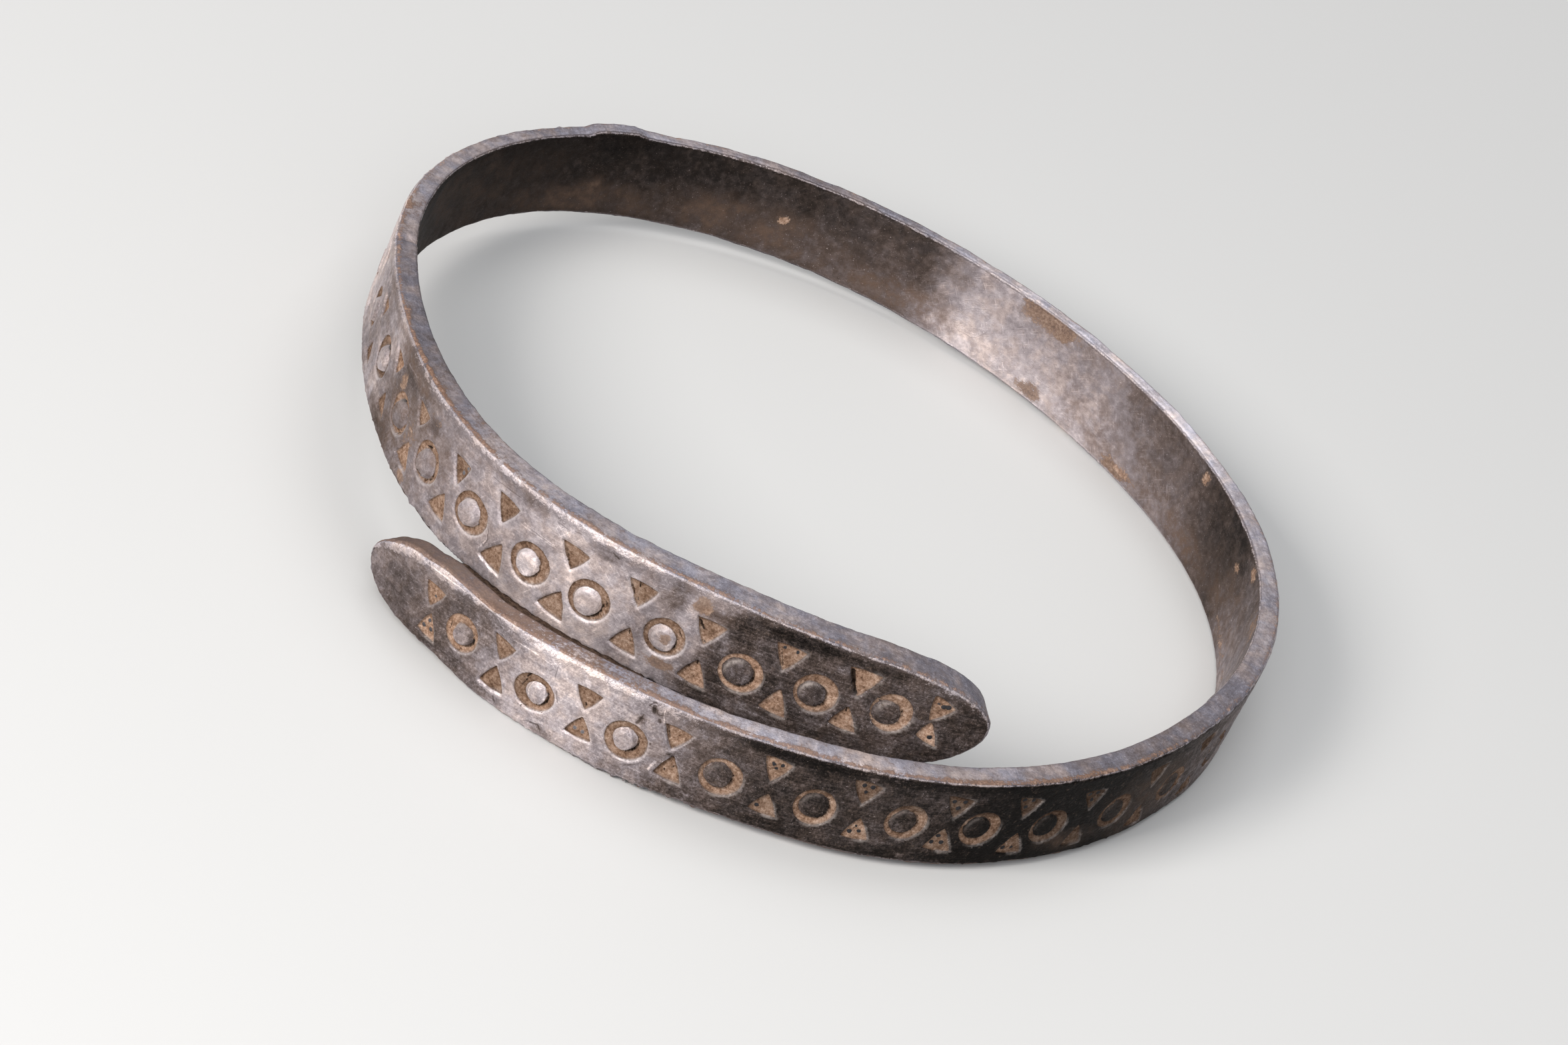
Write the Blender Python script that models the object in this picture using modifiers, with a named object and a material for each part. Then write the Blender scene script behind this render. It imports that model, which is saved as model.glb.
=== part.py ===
"""Silver strip bracelet, bent by hand into a coil of a little over one turn.

The strip is first made flat, as the smith had it: X runs along it from end A, Y across it and Z out of its
struck face. Rings and triangles are punched into that face. Then the whole strip is bent into the coil.
"""

import math

import bmesh
import bpy
import numpy as np
from mathutils import Matrix

MM = 0.001

# The coil, seen from above, turns anticlockwise and rises from end A to end B.
COIL_START = -136.5
COIL_END = 306.5
COIL_RADII = [33.3, 34.0, 35.2, 35.7, 36.9, 34.9, 33.4, 32.6, 30.4, 28.6, 29.9, 29.7, 33.9]
COIL_LOW = -3.9
COIL_RISE = 7.4
COIL_SWELL = 0.36
LEAN_AT_A = 2.8
LEAN_AT_B = 1.2

# The strip, in millimetres: widths and thicknesses are read at even stations along the coil.
STRIP_LENGTH = 258.4
STRIP_WIDTHS = [6.2, 7.4, 7.5, 7.0, 7.2, 8.6, 8.2]
STRIP_THICKNESSES = [1.8, 1.8, 1.1, 1.8, 2.7]
BLANK_THICKNESS = 1.1
EDGE_BEVEL = 0.22
TONGUE_A = 7.0
TONGUE_B = 9.5
TONGUE_B_OFFSET = 0.6
OUTLINE_STEP = 5.0
TONGUE_STEPS = 7
BEND_STEP = 2.6

# Ring punches: places along and across the strip. The far side is struck at even spaces.
RINGS_BY_A = [
    (9.7, 0.0), (16.2, -0.6), (23.1, -0.4), (30.0, -0.2), (36.7, -0.2),
    (43.2, -0.1), (49.0, -0.3), (54.9, -0.5), (61.7, -0.9),
]
RINGS_BY_B = [
    (195.2, -0.5), (201.8, -0.2), (208.3, -0.5), (213.7, -0.6), (219.4, -0.6), (225.0, -0.8),
    (229.9, -0.7), (235.4, -0.8), (241.1, -0.8), (246.3, -0.1), (251.5, 0.3),
]
RINGS_ON_FAR_SIDE = 19
RING_RADIUS = 1.52
BOSS_RADIUS = 0.95
RING_DEPTH = 0.35
RING_SIDES = 14

# Triangle punches stand in pairs between the rings, their points towards the row of rings.
TRIANGLE_BASE = 2.05
TRIANGLE_HEIGHT = 1.85
TRIANGLE_DEPTH = 0.35
UPPER_POINT = 0.8
LOWER_POINT = -0.25
POINT_PAST_MIDDLE = 0.1
END_PAIR_GAP = 2.8
CUTTER_CLEARANCE = 0.6

# The finished coil lies on its lower edge, tipped a little, and is worn flat where it touches.
REST_TILT = 2.4
REST_TILT_AXIS = 163.4
REST_CENTRE = (3.88, -0.68)
REST_HEIGHT = 5.44
COIL_SAMPLES = 2001


def smooth_through(values, share):
    """Read a natural cubic through evenly spaced values, at shares 0 to 1 of the way along."""
    values = np.asarray(values, float)
    last = len(values) - 1
    bend = np.zeros(last + 1)
    matrix = 4 * np.eye(last - 1) + np.eye(last - 1, k=1) + np.eye(last - 1, k=-1)
    bend[1:-1] = np.linalg.solve(matrix, 6 * np.diff(values, 2))
    place = np.clip(share, 0, 1) * last
    left = np.minimum(place.astype(int), last - 1)
    far = place - left
    near = 1 - far
    straight = near * values[left] + far * values[left + 1]
    curved = (near**3 - near) * bend[left] + (far**3 - far) * bend[left + 1]
    return straight + curved / 6


def unit(vectors):
    return vectors / np.linalg.norm(vectors, axis=1)[:, None]


class Coil:
    """The bent middle line of the strip, with its directions, thickness and length along the struck face."""

    def __init__(self):
        share = np.linspace(0, 1, COIL_SAMPLES)
        turn = np.radians(COIL_START + (COIL_END - COIL_START) * share)
        radius = smooth_through(COIL_RADII, share)
        height = COIL_LOW + COIL_RISE * share + COIL_SWELL * 4 * share * (1 - share)
        self.middle = np.stack([radius * np.cos(turn), radius * np.sin(turn), height], axis=1)
        along = unit(np.gradient(self.middle, axis=0))
        up = np.array([0.0, 0.0, 1.0])
        across = unit(up - along * along[:, 2:])
        out = np.cross(along, across)
        lean = np.radians(LEAN_AT_A + (LEAN_AT_B - LEAN_AT_A) * share)[:, None]
        self.across = across * np.cos(lean) + out * np.sin(lean)
        self.out = out * np.cos(lean) - across * np.sin(lean)
        self.width = smooth_through(STRIP_WIDTHS, share)
        self.thickness = smooth_through(STRIP_THICKNESSES, share)
        face = self.middle + self.out * self.thickness[:, None] / 2
        steps = np.linalg.norm(np.diff(face, axis=0), axis=1)
        self.length = np.concatenate([[0.0], np.cumsum(steps)])

    def read(self, values, u):
        if values.ndim == 1:
            return np.interp(u, self.length, values)
        return np.stack([np.interp(u, self.length, column) for column in values.T], axis=1)

    def bend(self, flat):
        """Carry points of the flat strip (along, across, out) to their places on the coil."""
        u, v, z = flat.T
        half_blank = BLANK_THICKNESS / 2
        half = self.read(self.thickness, u) / 2
        depth = np.where(z > 0, half + z - half_blank, -half + z + half_blank)
        across = self.read(self.across, u)
        out = self.read(self.out, u)
        return self.read(self.middle, u) + across * v[:, None] + out * depth[:, None]


def strip_edges(coil, u):
    """Lower and upper edge of the flat strip at distances u along it, rounded off at both ends."""
    half = coil.read(coil.width, u) / 2
    past_a = np.clip(1 - u / TONGUE_A, 0, 1)
    past_b = np.clip(1 - (STRIP_LENGTH - u) / TONGUE_B, 0, 1)
    half = half * np.sqrt((1 - past_a**2) * (1 - past_b**2))
    middle = TONGUE_B_OFFSET * past_b**2
    return middle - half, middle + half


def outline_stations():
    """Distances along the strip: close together round the two ends, even between them."""
    quarter = np.linspace(0, math.pi / 2, TONGUE_STEPS + 1)
    round_a = TONGUE_A * (1 - np.cos(quarter))
    round_b = STRIP_LENGTH - TONGUE_B * (1 - np.cos(quarter[::-1]))
    spaces = round((round_b[0] - round_a[-1]) / OUTLINE_STEP)
    between = np.linspace(round_a[-1], round_b[0], spaces + 1)[1:-1]
    return np.concatenate([round_a, between, round_b])


def flat_blank(coil, collection):
    """The strip's outline as a filled 2D curve of the blank's thickness, made a mesh with its caps welded."""
    stations = outline_stations()
    lower, upper = strip_edges(coil, stations)
    forward = list(zip(stations, lower))
    back = list(zip(stations[1:-1], upper[1:-1]))[::-1]
    curve = bpy.data.curves.new("blank_outline", "CURVE")
    curve.dimensions = "2D"
    curve.fill_mode = "BOTH"
    curve.extrude = BLANK_THICKNESS / 2 * MM
    points = forward + back
    spline = curve.splines.new("POLY")
    spline.points.add(len(points) - 1)
    for point, (along, across) in zip(spline.points, points):
        point.co = (along * MM, across * MM, 0, 1)
    spline.use_cyclic_u = True
    outline = bpy.data.objects.new("blank_outline", curve)
    collection.objects.link(outline)
    bpy.context.view_layer.update()
    evaluated = outline.evaluated_get(bpy.context.evaluated_depsgraph_get())
    mesh = bpy.data.meshes.new_from_object(evaluated)
    bpy.data.objects.remove(outline)
    bpy.data.curves.remove(curve)
    blank = bmesh.new()
    blank.from_mesh(mesh)
    bmesh.ops.remove_doubles(blank, verts=blank.verts[:], dist=0.00001)
    bmesh.ops.dissolve_limit(
        blank, angle_limit=math.radians(1), verts=blank.verts[:], edges=blank.edges[:]
    )
    bmesh.ops.recalc_face_normals(blank, faces=blank.faces[:])
    blank.to_mesh(mesh)
    blank.free()
    return mesh


def ring_places():
    first = RINGS_BY_A[-1]
    last = RINGS_BY_B[0]
    shares = np.linspace(0, 1, RINGS_ON_FAR_SIDE + 2)[1:-1]
    far = [tuple(np.add(first, share * np.subtract(last, first))) for share in shares]
    return RINGS_BY_A + far + RINGS_BY_B


def pair_places(rings):
    """Middles of the gaps between rings, and one place past the ring at each end."""
    gaps = [tuple(np.add(left, right) / 2) for left, right in zip(rings, rings[1:])]
    before = (rings[0][0] - END_PAIR_GAP, rings[0][1])
    after = (rings[-1][0] + END_PAIR_GAP, rings[-1][1])
    return [before, *gaps, after]


def add_ring_punch(cutter, along, across):
    """A square section spun round the ring's own axis: it leaves a flat boss inside a groove."""
    face = BLANK_THICKNESS / 2
    section = [
        (BOSS_RADIUS, face - RING_DEPTH), (RING_RADIUS, face - RING_DEPTH),
        (RING_RADIUS, face + CUTTER_CLEARANCE), (BOSS_RADIUS, face + CUTTER_CLEARANCE),
    ]
    corners = [cutter.verts.new(((along + r) * MM, across * MM, z * MM)) for r, z in section]
    edges = [cutter.edges.new((corners[i - 1], corners[i])) for i in range(len(corners))]
    bmesh.ops.spin(
        cutter, geom=corners + edges, cent=(along * MM, across * MM, 0), axis=(0, 0, 1),
        angle=math.tau, steps=RING_SIDES, use_merge=True, use_duplicate=False,
    )


def add_triangle_punch(cutter, along, point, side):
    """A three-sided prism whose point lies at `point` across the strip; side is 1 above the rings, -1 below."""
    face = BLANK_THICKNESS / 2
    height = TRIANGLE_DEPTH + CUTTER_CLEARANCE
    made = bmesh.ops.create_cone(
        cutter, cap_ends=True, segments=3, radius1=1, radius2=1, depth=height * MM
    )["verts"]
    lows = [vert.co.y for vert in made]
    turn = Matrix.Rotation(math.pi if max(lows) > -min(lows) else 0, 4, "Z")
    size = Matrix.Diagonal((
        TRIANGLE_BASE * MM / math.sqrt(3), TRIANGLE_HEIGHT * MM / 1.5 * side, 1, 1,
    ))
    middle = point + side * TRIANGLE_HEIGHT * 2 / 3
    place = Matrix.Translation((along * MM, middle * MM, (face - TRIANGLE_DEPTH + height / 2) * MM))
    bmesh.ops.transform(cutter, matrix=place @ size @ turn, verts=made)


def punches(collection):
    cutter = bmesh.new()
    rings = ring_places()
    for along, across in rings:
        add_ring_punch(cutter, along, across)
    for along, across in pair_places(rings):
        add_triangle_punch(cutter, along + POINT_PAST_MIDDLE, across + UPPER_POINT, 1)
        add_triangle_punch(cutter, along + POINT_PAST_MIDDLE, across + LOWER_POINT, -1)
    bmesh.ops.recalc_face_normals(cutter, faces=cutter.faces[:])
    mesh = bpy.data.meshes.new("punches")
    cutter.to_mesh(mesh)
    cutter.free()
    tool = bpy.data.objects.new("punches", mesh)
    collection.objects.link(tool)
    tool.hide_render = True
    tool.display_type = "WIRE"
    return tool


def struck_strip(coil, parts, cutters):
    """The flat strip with its edges eased and every punch mark cut."""
    band = bpy.data.objects.new("bracelet_band", flat_blank(coil, cutters))
    parts.objects.link(band)
    ease = band.modifiers.new("eased edges", "BEVEL")
    ease.width = EDGE_BEVEL * MM
    ease.segments = 1
    ease.limit_method = "ANGLE"
    ease.angle_limit = math.radians(60)
    strike = band.modifiers.new("punch marks", "BOOLEAN")
    strike.operation = "DIFFERENCE"
    strike.solver = "EXACT"
    strike.object = punches(cutters)
    bpy.context.view_layer.update()
    evaluated = band.evaluated_get(bpy.context.evaluated_depsgraph_get())
    mesh = bpy.data.meshes.new_from_object(evaluated)
    band.modifiers.clear()
    band.data = mesh
    return band


def lie_down(points):
    """Tip the coil so that it lies on its lower edge, with the origin under its middle."""
    tilt = Matrix.Rotation(
        math.radians(REST_TILT), 3,
        (math.cos(math.radians(REST_TILT_AXIS)), math.sin(math.radians(REST_TILT_AXIS)), 0),
    )
    placed = points @ np.array(tilt).T
    placed -= np.array([REST_CENTRE[0], REST_CENTRE[1], -REST_HEIGHT])
    placed[:, 2] = np.maximum(placed[:, 2], 0)
    return placed


def bend_strip(coil, band):
    """Cross-cut the flat strip at even steps, split its faces to triangles and carry it to the coil."""
    strip = bmesh.new()
    strip.from_mesh(band.data)
    for along in np.arange(BEND_STEP / 2, STRIP_LENGTH, BEND_STEP):
        bmesh.ops.bisect_plane(
            strip, geom=strip.verts[:] + strip.edges[:] + strip.faces[:], dist=1e-7,
            plane_co=(along * MM, 0, 0), plane_no=(1, 0, 0),
        )
    bmesh.ops.triangulate(strip, faces=strip.faces[:])
    flat = np.array([vert.co for vert in strip.verts]) / MM
    for vert, place in zip(strip.verts, lie_down(coil.bend(flat)) * MM):
        vert.co = place
    strip.to_mesh(band.data)
    strip.free()


def tarnished_silver():
    material = bpy.data.materials.new("tarnished_silver")
    material.use_nodes = True
    shader = material.node_tree.nodes["Principled BSDF"]
    shader.inputs["Base Color"].default_value = (0.42, 0.37, 0.36, 1)
    shader.inputs["Metallic"].default_value = 0.9
    shader.inputs["Roughness"].default_value = 0.42
    return material


def main():
    for old in list(bpy.data.objects):
        bpy.data.objects.remove(old)
    parts = bpy.data.collections.new("bracelet")
    cutters = bpy.data.collections.new("cutters")
    bpy.context.scene.collection.children.link(parts)
    bpy.context.scene.collection.children.link(cutters)
    coil = Coil()
    band = struck_strip(coil, parts, cutters)
    bend_strip(coil, band)
    band.data.shade_smooth()
    band.data.set_sharp_from_angle(angle=math.radians(30))
    band.data.materials.clear()
    band.data.materials.append(tarnished_silver())


main()
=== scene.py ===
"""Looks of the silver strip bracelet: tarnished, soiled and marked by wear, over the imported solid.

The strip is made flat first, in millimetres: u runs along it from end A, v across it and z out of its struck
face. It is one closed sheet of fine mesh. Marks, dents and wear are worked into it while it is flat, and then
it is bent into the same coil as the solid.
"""

import math
from collections import namedtuple
from types import SimpleNamespace

import bmesh
import bpy
import numpy as np
from mathutils import Matrix, Vector, noise


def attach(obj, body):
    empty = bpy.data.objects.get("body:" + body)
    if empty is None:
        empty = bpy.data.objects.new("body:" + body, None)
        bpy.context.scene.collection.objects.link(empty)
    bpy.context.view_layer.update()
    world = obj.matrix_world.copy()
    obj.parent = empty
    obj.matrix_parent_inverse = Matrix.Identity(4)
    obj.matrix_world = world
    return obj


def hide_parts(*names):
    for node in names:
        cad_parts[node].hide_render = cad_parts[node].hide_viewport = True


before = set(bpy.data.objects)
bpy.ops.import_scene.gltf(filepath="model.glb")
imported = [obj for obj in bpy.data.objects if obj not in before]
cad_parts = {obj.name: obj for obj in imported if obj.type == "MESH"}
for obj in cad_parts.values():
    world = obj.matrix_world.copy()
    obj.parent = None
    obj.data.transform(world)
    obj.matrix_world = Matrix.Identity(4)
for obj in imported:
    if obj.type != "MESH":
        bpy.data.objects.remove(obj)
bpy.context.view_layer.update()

MM = 0.001

# The coil and the strip, as in the solid.
COIL_START = -136.5
COIL_END = 306.5
COIL_RADII = [33.3, 34.0, 35.2, 35.7, 36.9, 34.9, 33.4, 32.6, 30.4, 28.6, 29.9, 29.7, 33.9]
COIL_LOW = -3.9
COIL_RISE = 7.4
COIL_SWELL = 0.36
COIL_SAMPLES = 2001
LEAN_AT_A = 2.8
LEAN_AT_B = 1.2
STRIP_LENGTH = 258.4
STRIP_WIDTHS = [6.2, 7.4, 7.5, 7.0, 7.2, 8.6, 8.2]
STRIP_THICKNESSES = [1.8, 1.8, 1.1, 1.8, 2.7]
TONGUE_A = 7.0
TONGUE_B = 9.5
TONGUE_B_OFFSET = 0.6
REST_TILT = 2.4
REST_TILT_AXIS = 163.4
REST_CENTRE = (3.88, -0.68)
REST_HEIGHT = 5.44

# The mesh: how many columns each side of the section has, and how far apart the rows are along the strip.
OUTER_COLUMNS = 38
INNER_COLUMNS = 14
EDGE_COLUMNS = 5
CORNER_COLUMNS = 3
OUTER_CORNER = 0.32
INNER_CORNER = 0.3
SEEN_ROWS = 0.19
RAGGED_ROWS = 0.13
RAGGED_TO = 28.0
HIDDEN_ROWS = 0.36
HIDDEN_FROM = 66.0
HIDDEN_TO = 188.0
TONGUE_ROWS = 44
FINE_BAND = 0.22

# Where the strip's edges stray from the even outline: places along it and how far up they stand.
LOWER_EDGE = [
    (0, 0.0), (2, -0.1), (4, -0.25), (6, -0.35), (8, -0.3), (10, -0.05), (12, 0.3), (16, 0.3), (20, 0.22),
    (24, 0.05), (28, -0.2), (33, -0.25), (40, -0.1), (48, -0.05), (60, 0.0), (258, 0.0),
]
UPPER_EDGE = [
    (0, 0.3), (1.5, 0.1), (2.5, 0.25), (5, 0.0), (7, 0.2), (9, 0.05), (11, -0.15), (14, -0.1), (20, 0.1),
    (33, 0.3), (40, 0.15), (50, -0.05), (60, -0.2), (90, 0.0), (155, 0.0), (157.2, 0.1), (158.2, 0.35),
    (161.6, 0.32), (162.4, 0.0), (190, 0.0), (191.6, 0.0), (192.1, -0.3), (192.7, 0.05), (216, 0.0),
    (258, 0.0),
]

# Ring punches: the ring's middle and reach along and across, the middle and radius of its boss at the foot,
# those of the boss's flat top, and how much darker (or, below zero, brighter) the top is.
Ring = namedtuple("Ring", "u v reach_u reach_v foot_u foot_v foot top_u top_v top darker")
RINGS_BY_A = [
    (9.65, -0.02, 1.4, 1.4, 9.75, -0.1, 0.8, 9.65, -0.18, 0.63, -0.2),
    (16.08, -0.64, 1.58, 1.37, 16.2, -0.65, 0.83, 16.38, -0.72, 0.62, 0.02),
    (23.1, -0.5, 1.56, 1.5, 23.0, -0.45, 0.9, 22.97, -0.62, 0.63, -0.05),
    (29.87, -0.23, 1.54, 1.5, 29.62, -0.15, 1.0, 29.73, -0.28, 0.78, -0.02),
    (36.55, -0.28, 1.48, 1.52, 36.45, -0.18, 1.05, 36.57, -0.22, 0.84, 0.07),
    (43.1, -0.13, 1.54, 1.5, 42.88, -0.14, 1.0, 42.93, -0.16, 0.83, 0.0),
    (48.88, -0.32, 1.58, 1.5, 48.58, -0.25, 1.0, 48.68, -0.28, 0.8, 0.0),
    (54.8, -0.58, 1.6, 1.48, 54.5, -0.48, 1.0, 54.56, -0.5, 0.82, 0.0),
    (61.4, -0.7, 1.6, 1.5, 61.2, -0.7, 1.0, 61.25, -0.72, 0.82, 0.0),
]
RINGS_BY_B = [
    (195.1, -0.45, 1.55, 1.5, 195.0, -0.65, 0.95, 194.95, -0.75, 0.78, -0.1),
    (201.85, -0.22, 1.6, 1.53, 201.8, -0.35, 0.95, 201.75, -0.45, 0.78, -0.05),
    (208.2, -0.5, 1.55, 1.5, 208.15, -0.6, 1.05, 208.0, -0.7, 0.83, -0.05),
    (213.6, -0.62, 1.56, 1.5, 213.5, -0.82, 1.05, 213.32, -0.98, 0.84, -0.05),
    (219.3, -0.64, 1.63, 1.52, 219.15, -0.72, 1.0, 219.0, -0.86, 0.83, -0.05),
    (225.0, -0.78, 1.63, 1.52, 224.8, -0.86, 0.98, 224.82, -0.98, 0.82, -0.25),
    (229.85, -0.74, 1.58, 1.54, 229.77, -0.91, 1.05, 229.75, -1.04, 0.88, 0.04),
    (235.5, -0.6, 1.5, 1.48, 235.35, -0.78, 1.0, 235.52, -0.92, 0.74, -0.05),
    (241.1, -0.74, 1.58, 1.54, 240.87, -0.76, 1.1, 241.0, -0.85, 0.87, -0.14),
    (246.25, -0.08, 1.54, 1.54, 246.0, -0.24, 1.0, 246.12, -0.27, 0.8, 0.0),
    (251.45, 0.4, 1.46, 1.57, 251.12, 0.27, 1.0, 251.33, 0.26, 0.77, 0.0),
]
RINGS_ON_FAR_SIDE = 19

# How deep the soil lies in the marks along the strip, how far it domes up between ring and boss, and how much
# it strays. How strong the painted highlight on the bosses' left bevels is along the strip.
SOIL_DEPTHS = [
    (0, 0.25), (26, 0.27), (33, 0.19), (40, 0.14), (66, 0.12), (188, 0.2), (196, 0.26), (236, 0.26),
    (243, 0.18), (259, 0.16),
]
SOIL_DOME = 0.05
RING_SOIL_GRAIN = 0.07
TRIANGLE_SOIL_GRAIN = 0.08
BOSS_SHEEN = [(0, 0.9), (24, 0.6), (29, 0.25), (66, 0.2), (188, 0.5), (228, 0.9), (240, 1.0), (259, 0.8)]

# Half the width of a mark's wall, and how far an outline strays. How high a boss stands over the face, and
# how high, how far off and how wide is the ridge of metal pushed up beside a mark.
WALL_REACH = 0.055
OUTLINE_WOBBLE = 0.02
BOSS_HEIGHT = 0.04
RIDGE_HEIGHT = 0.025
RING_RIDGE_AWAY = 0.15
TRIANGLE_RIDGE_AWAY = 0.14
RIDGE_WIDTH = 0.08
PELLET_HEIGHT = 0.08
CRACK_DEPTH = 0.2

# A note's value where nothing of its kind is near.
FAR_OFF = 0.6

# Mesh points this near to an outline slide this share of the way onto it. The step is for reading its slope.
SETTLE_REACH = 0.062
SETTLE_SHARE = 0.95
SLOPE_STEP = 0.01

# Triangle punches: the two corners of the base, then the apex. Then how far their sides bow out, and the
# place and size of those on the hidden far side.
TRIANGLES = [
    (5.6, 1.75, 7.5, 1.7, 6.5, 0.05), (6.1, -1.95, 7.85, -2.2, 6.9, -0.25),
    (11.95, 1.8, 13.9, 1.45, 12.95, 0.0), (12.0, -2.2, 14.05, -2.2, 12.95, -0.45),
    (18.6, 1.75, 20.65, 1.75, 19.75, 0.1), (18.9, -2.1, 20.95, -2.0, 19.8, -0.4),
    (25.1, 2.15, 27.2, 2.0, 26.1, 0.35), (25.55, -1.9, 27.55, -2.0, 26.45, -0.05),
    (32.1, 2.6, 34.1, 2.45, 33.05, 0.65), (32.3, -1.85, 34.4, -2.0, 33.3, -0.25),
    (38.35, 2.7, 40.5, 2.45, 39.5, 0.75), (39.0, -2.1, 41.0, -2.1, 39.9, -0.35),
    (45.35, 2.5, 47.45, 2.2, 46.4, 0.55), (45.1, -2.2, 47.3, -2.35, 46.15, -0.35),
    (51.05, 2.45, 53.05, 2.1, 52.0, 0.55), (51.15, -2.6, 53.3, -2.75, 52.3, -0.85),
    (57.0, 2.05, 59.0, 1.95, 58.15, 0.35), (57.1, -2.8, 58.95, -2.9, 58.0, -1.05),
    (197.0, 2.0, 199.0, 2.0, 198.1, 0.5), (196.9, -2.8, 199.1, -3.0, 198.4, -1.1),
    (204.0, 2.25, 206.1, 2.0, 205.1, 0.6), (203.7, -2.6, 205.8, -2.8, 204.8, -1.05),
    (210.2, 2.25, 212.2, 2.0, 211.2, 0.65), (209.5, -2.75, 211.75, -3.0, 210.75, -1.0),
    (216.1, 2.05, 217.95, 2.1, 217.2, 0.2), (215.1, -2.8, 217.3, -3.0, 216.5, -1.05),
    (220.85, 2.45, 222.95, 2.2, 221.9, 0.4), (221.1, -2.65, 223.2, -3.1, 222.55, -0.9),
    (226.55, 2.4, 228.9, 2.25, 227.85, 0.55), (226.45, -3.0, 228.7, -3.35, 227.85, -1.25),
    (231.8, 2.5, 234.05, 2.4, 233.05, 0.55), (232.1, -2.85, 234.2, -3.05, 233.15, -1.1),
    (237.0, 2.05, 239.2, 2.05, 238.05, 0.1), (237.15, -2.9, 239.3, -3.1, 238.2, -1.1),
    (242.5, 2.65, 244.7, 2.6, 243.6, 0.65), (243.0, -2.6, 245.0, -2.8, 244.0, -0.7),
    (247.65, 2.85, 250.0, 2.9, 248.85, 0.7), (247.75, -1.95, 249.75, -2.05, 248.65, -0.2),
    (253.75, 2.75, 255.5, 2.0, 254.05, 0.55), (253.6, -0.8, 255.25, -1.4, 254.3, 0.55),
]
SIDE_BOW = 0.1
FAR_TRIANGLE_MIDDLE = 1.75
FAR_TRIANGLE_HALF = 1.03
FAR_TRIANGLE_RISE = 0.9

# How light the soil in the marks is along the strip, and in the upper row of triangles.
SOIL_TONES = [
    (0, 0.95), (8, 1.1), (10, 1.25), (14.5, 0.82), (17, 1.4), (24, 1.06), (31, 0.82), (33.3, 0.6),
    (36, 0.92), (44, 0.9), (46.2, 0.6), (48.5, 0.88), (51, 0.85), (54, 0.46), (58, 0.36), (63, 0.52),
    (80, 0.8), (190, 1.0), (198, 0.95), (202, 0.7), (209, 1.2), (231, 1.15), (240, 1.25), (243, 1.05),
    (247, 0.95), (259, 1.3),
]
UPPER_SOIL_TONES = [
    (0, 1.1), (13, 0.98), (26, 1.15), (33, 0.8), (38, 0.48), (46, 0.34), (52, 0.3), (60, 0.24), (80, 0.5),
    (190, 1.0), (198, 1.3), (205, 1.6), (212, 0.82), (227.7, 1.04), (233, 0.95), (240, 1.0), (244, 0.75),
    (249, 0.88), (259, 1.0),
]

# Dark pellets left standing in some triangles, where the soil is thin: place and radius.
PELLETS = [
    (6.67, 0.95, 0.13), (6.87, -0.97, 0.15), (6.55, -1.55, 0.17), (7.2, -1.5, 0.17), (19.55, -1.6, 0.15),
    (20.15, -1.6, 0.15), (32.8, 2.17, 0.15), (33.42, 2.2, 0.15), (33.08, 1.85, 0.13), (32.87, -1.48, 0.17),
    (39.17, 2.33, 0.17), (39.78, 2.3, 0.19), (39.45, 1.83, 0.16), (39.55, -1.63, 0.18), (40.17, -1.5, 0.16),
    (39.85, -1.1, 0.1), (45.95, 2.0, 0.17), (46.75, 2.03, 0.18), (46.42, 1.47, 0.2), (45.67, -1.67, 0.17),
    (46.37, -1.62, 0.18), (45.95, -1.08, 0.17), (51.5, 2.15, 0.17), (52.25, 2.1, 0.18), (51.85, 1.5, 0.17),
    (51.7, -2.25, 0.18), (52.45, -2.3, 0.16), (57.58, 1.75, 0.17), (58.33, 1.75, 0.18), (58.0, 1.2, 0.17),
    (217.3, 1.27, 0.16), (217.65, 1.85, 0.12), (243.15, 2.4, 0.13), (244.05, 2.4, 0.14),
    (254.6, 1.95, 0.18), (254.95, 2.0, 0.2), (254.62, -0.75, 0.2), (254.2, 2.1, 0.1),
]

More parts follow.
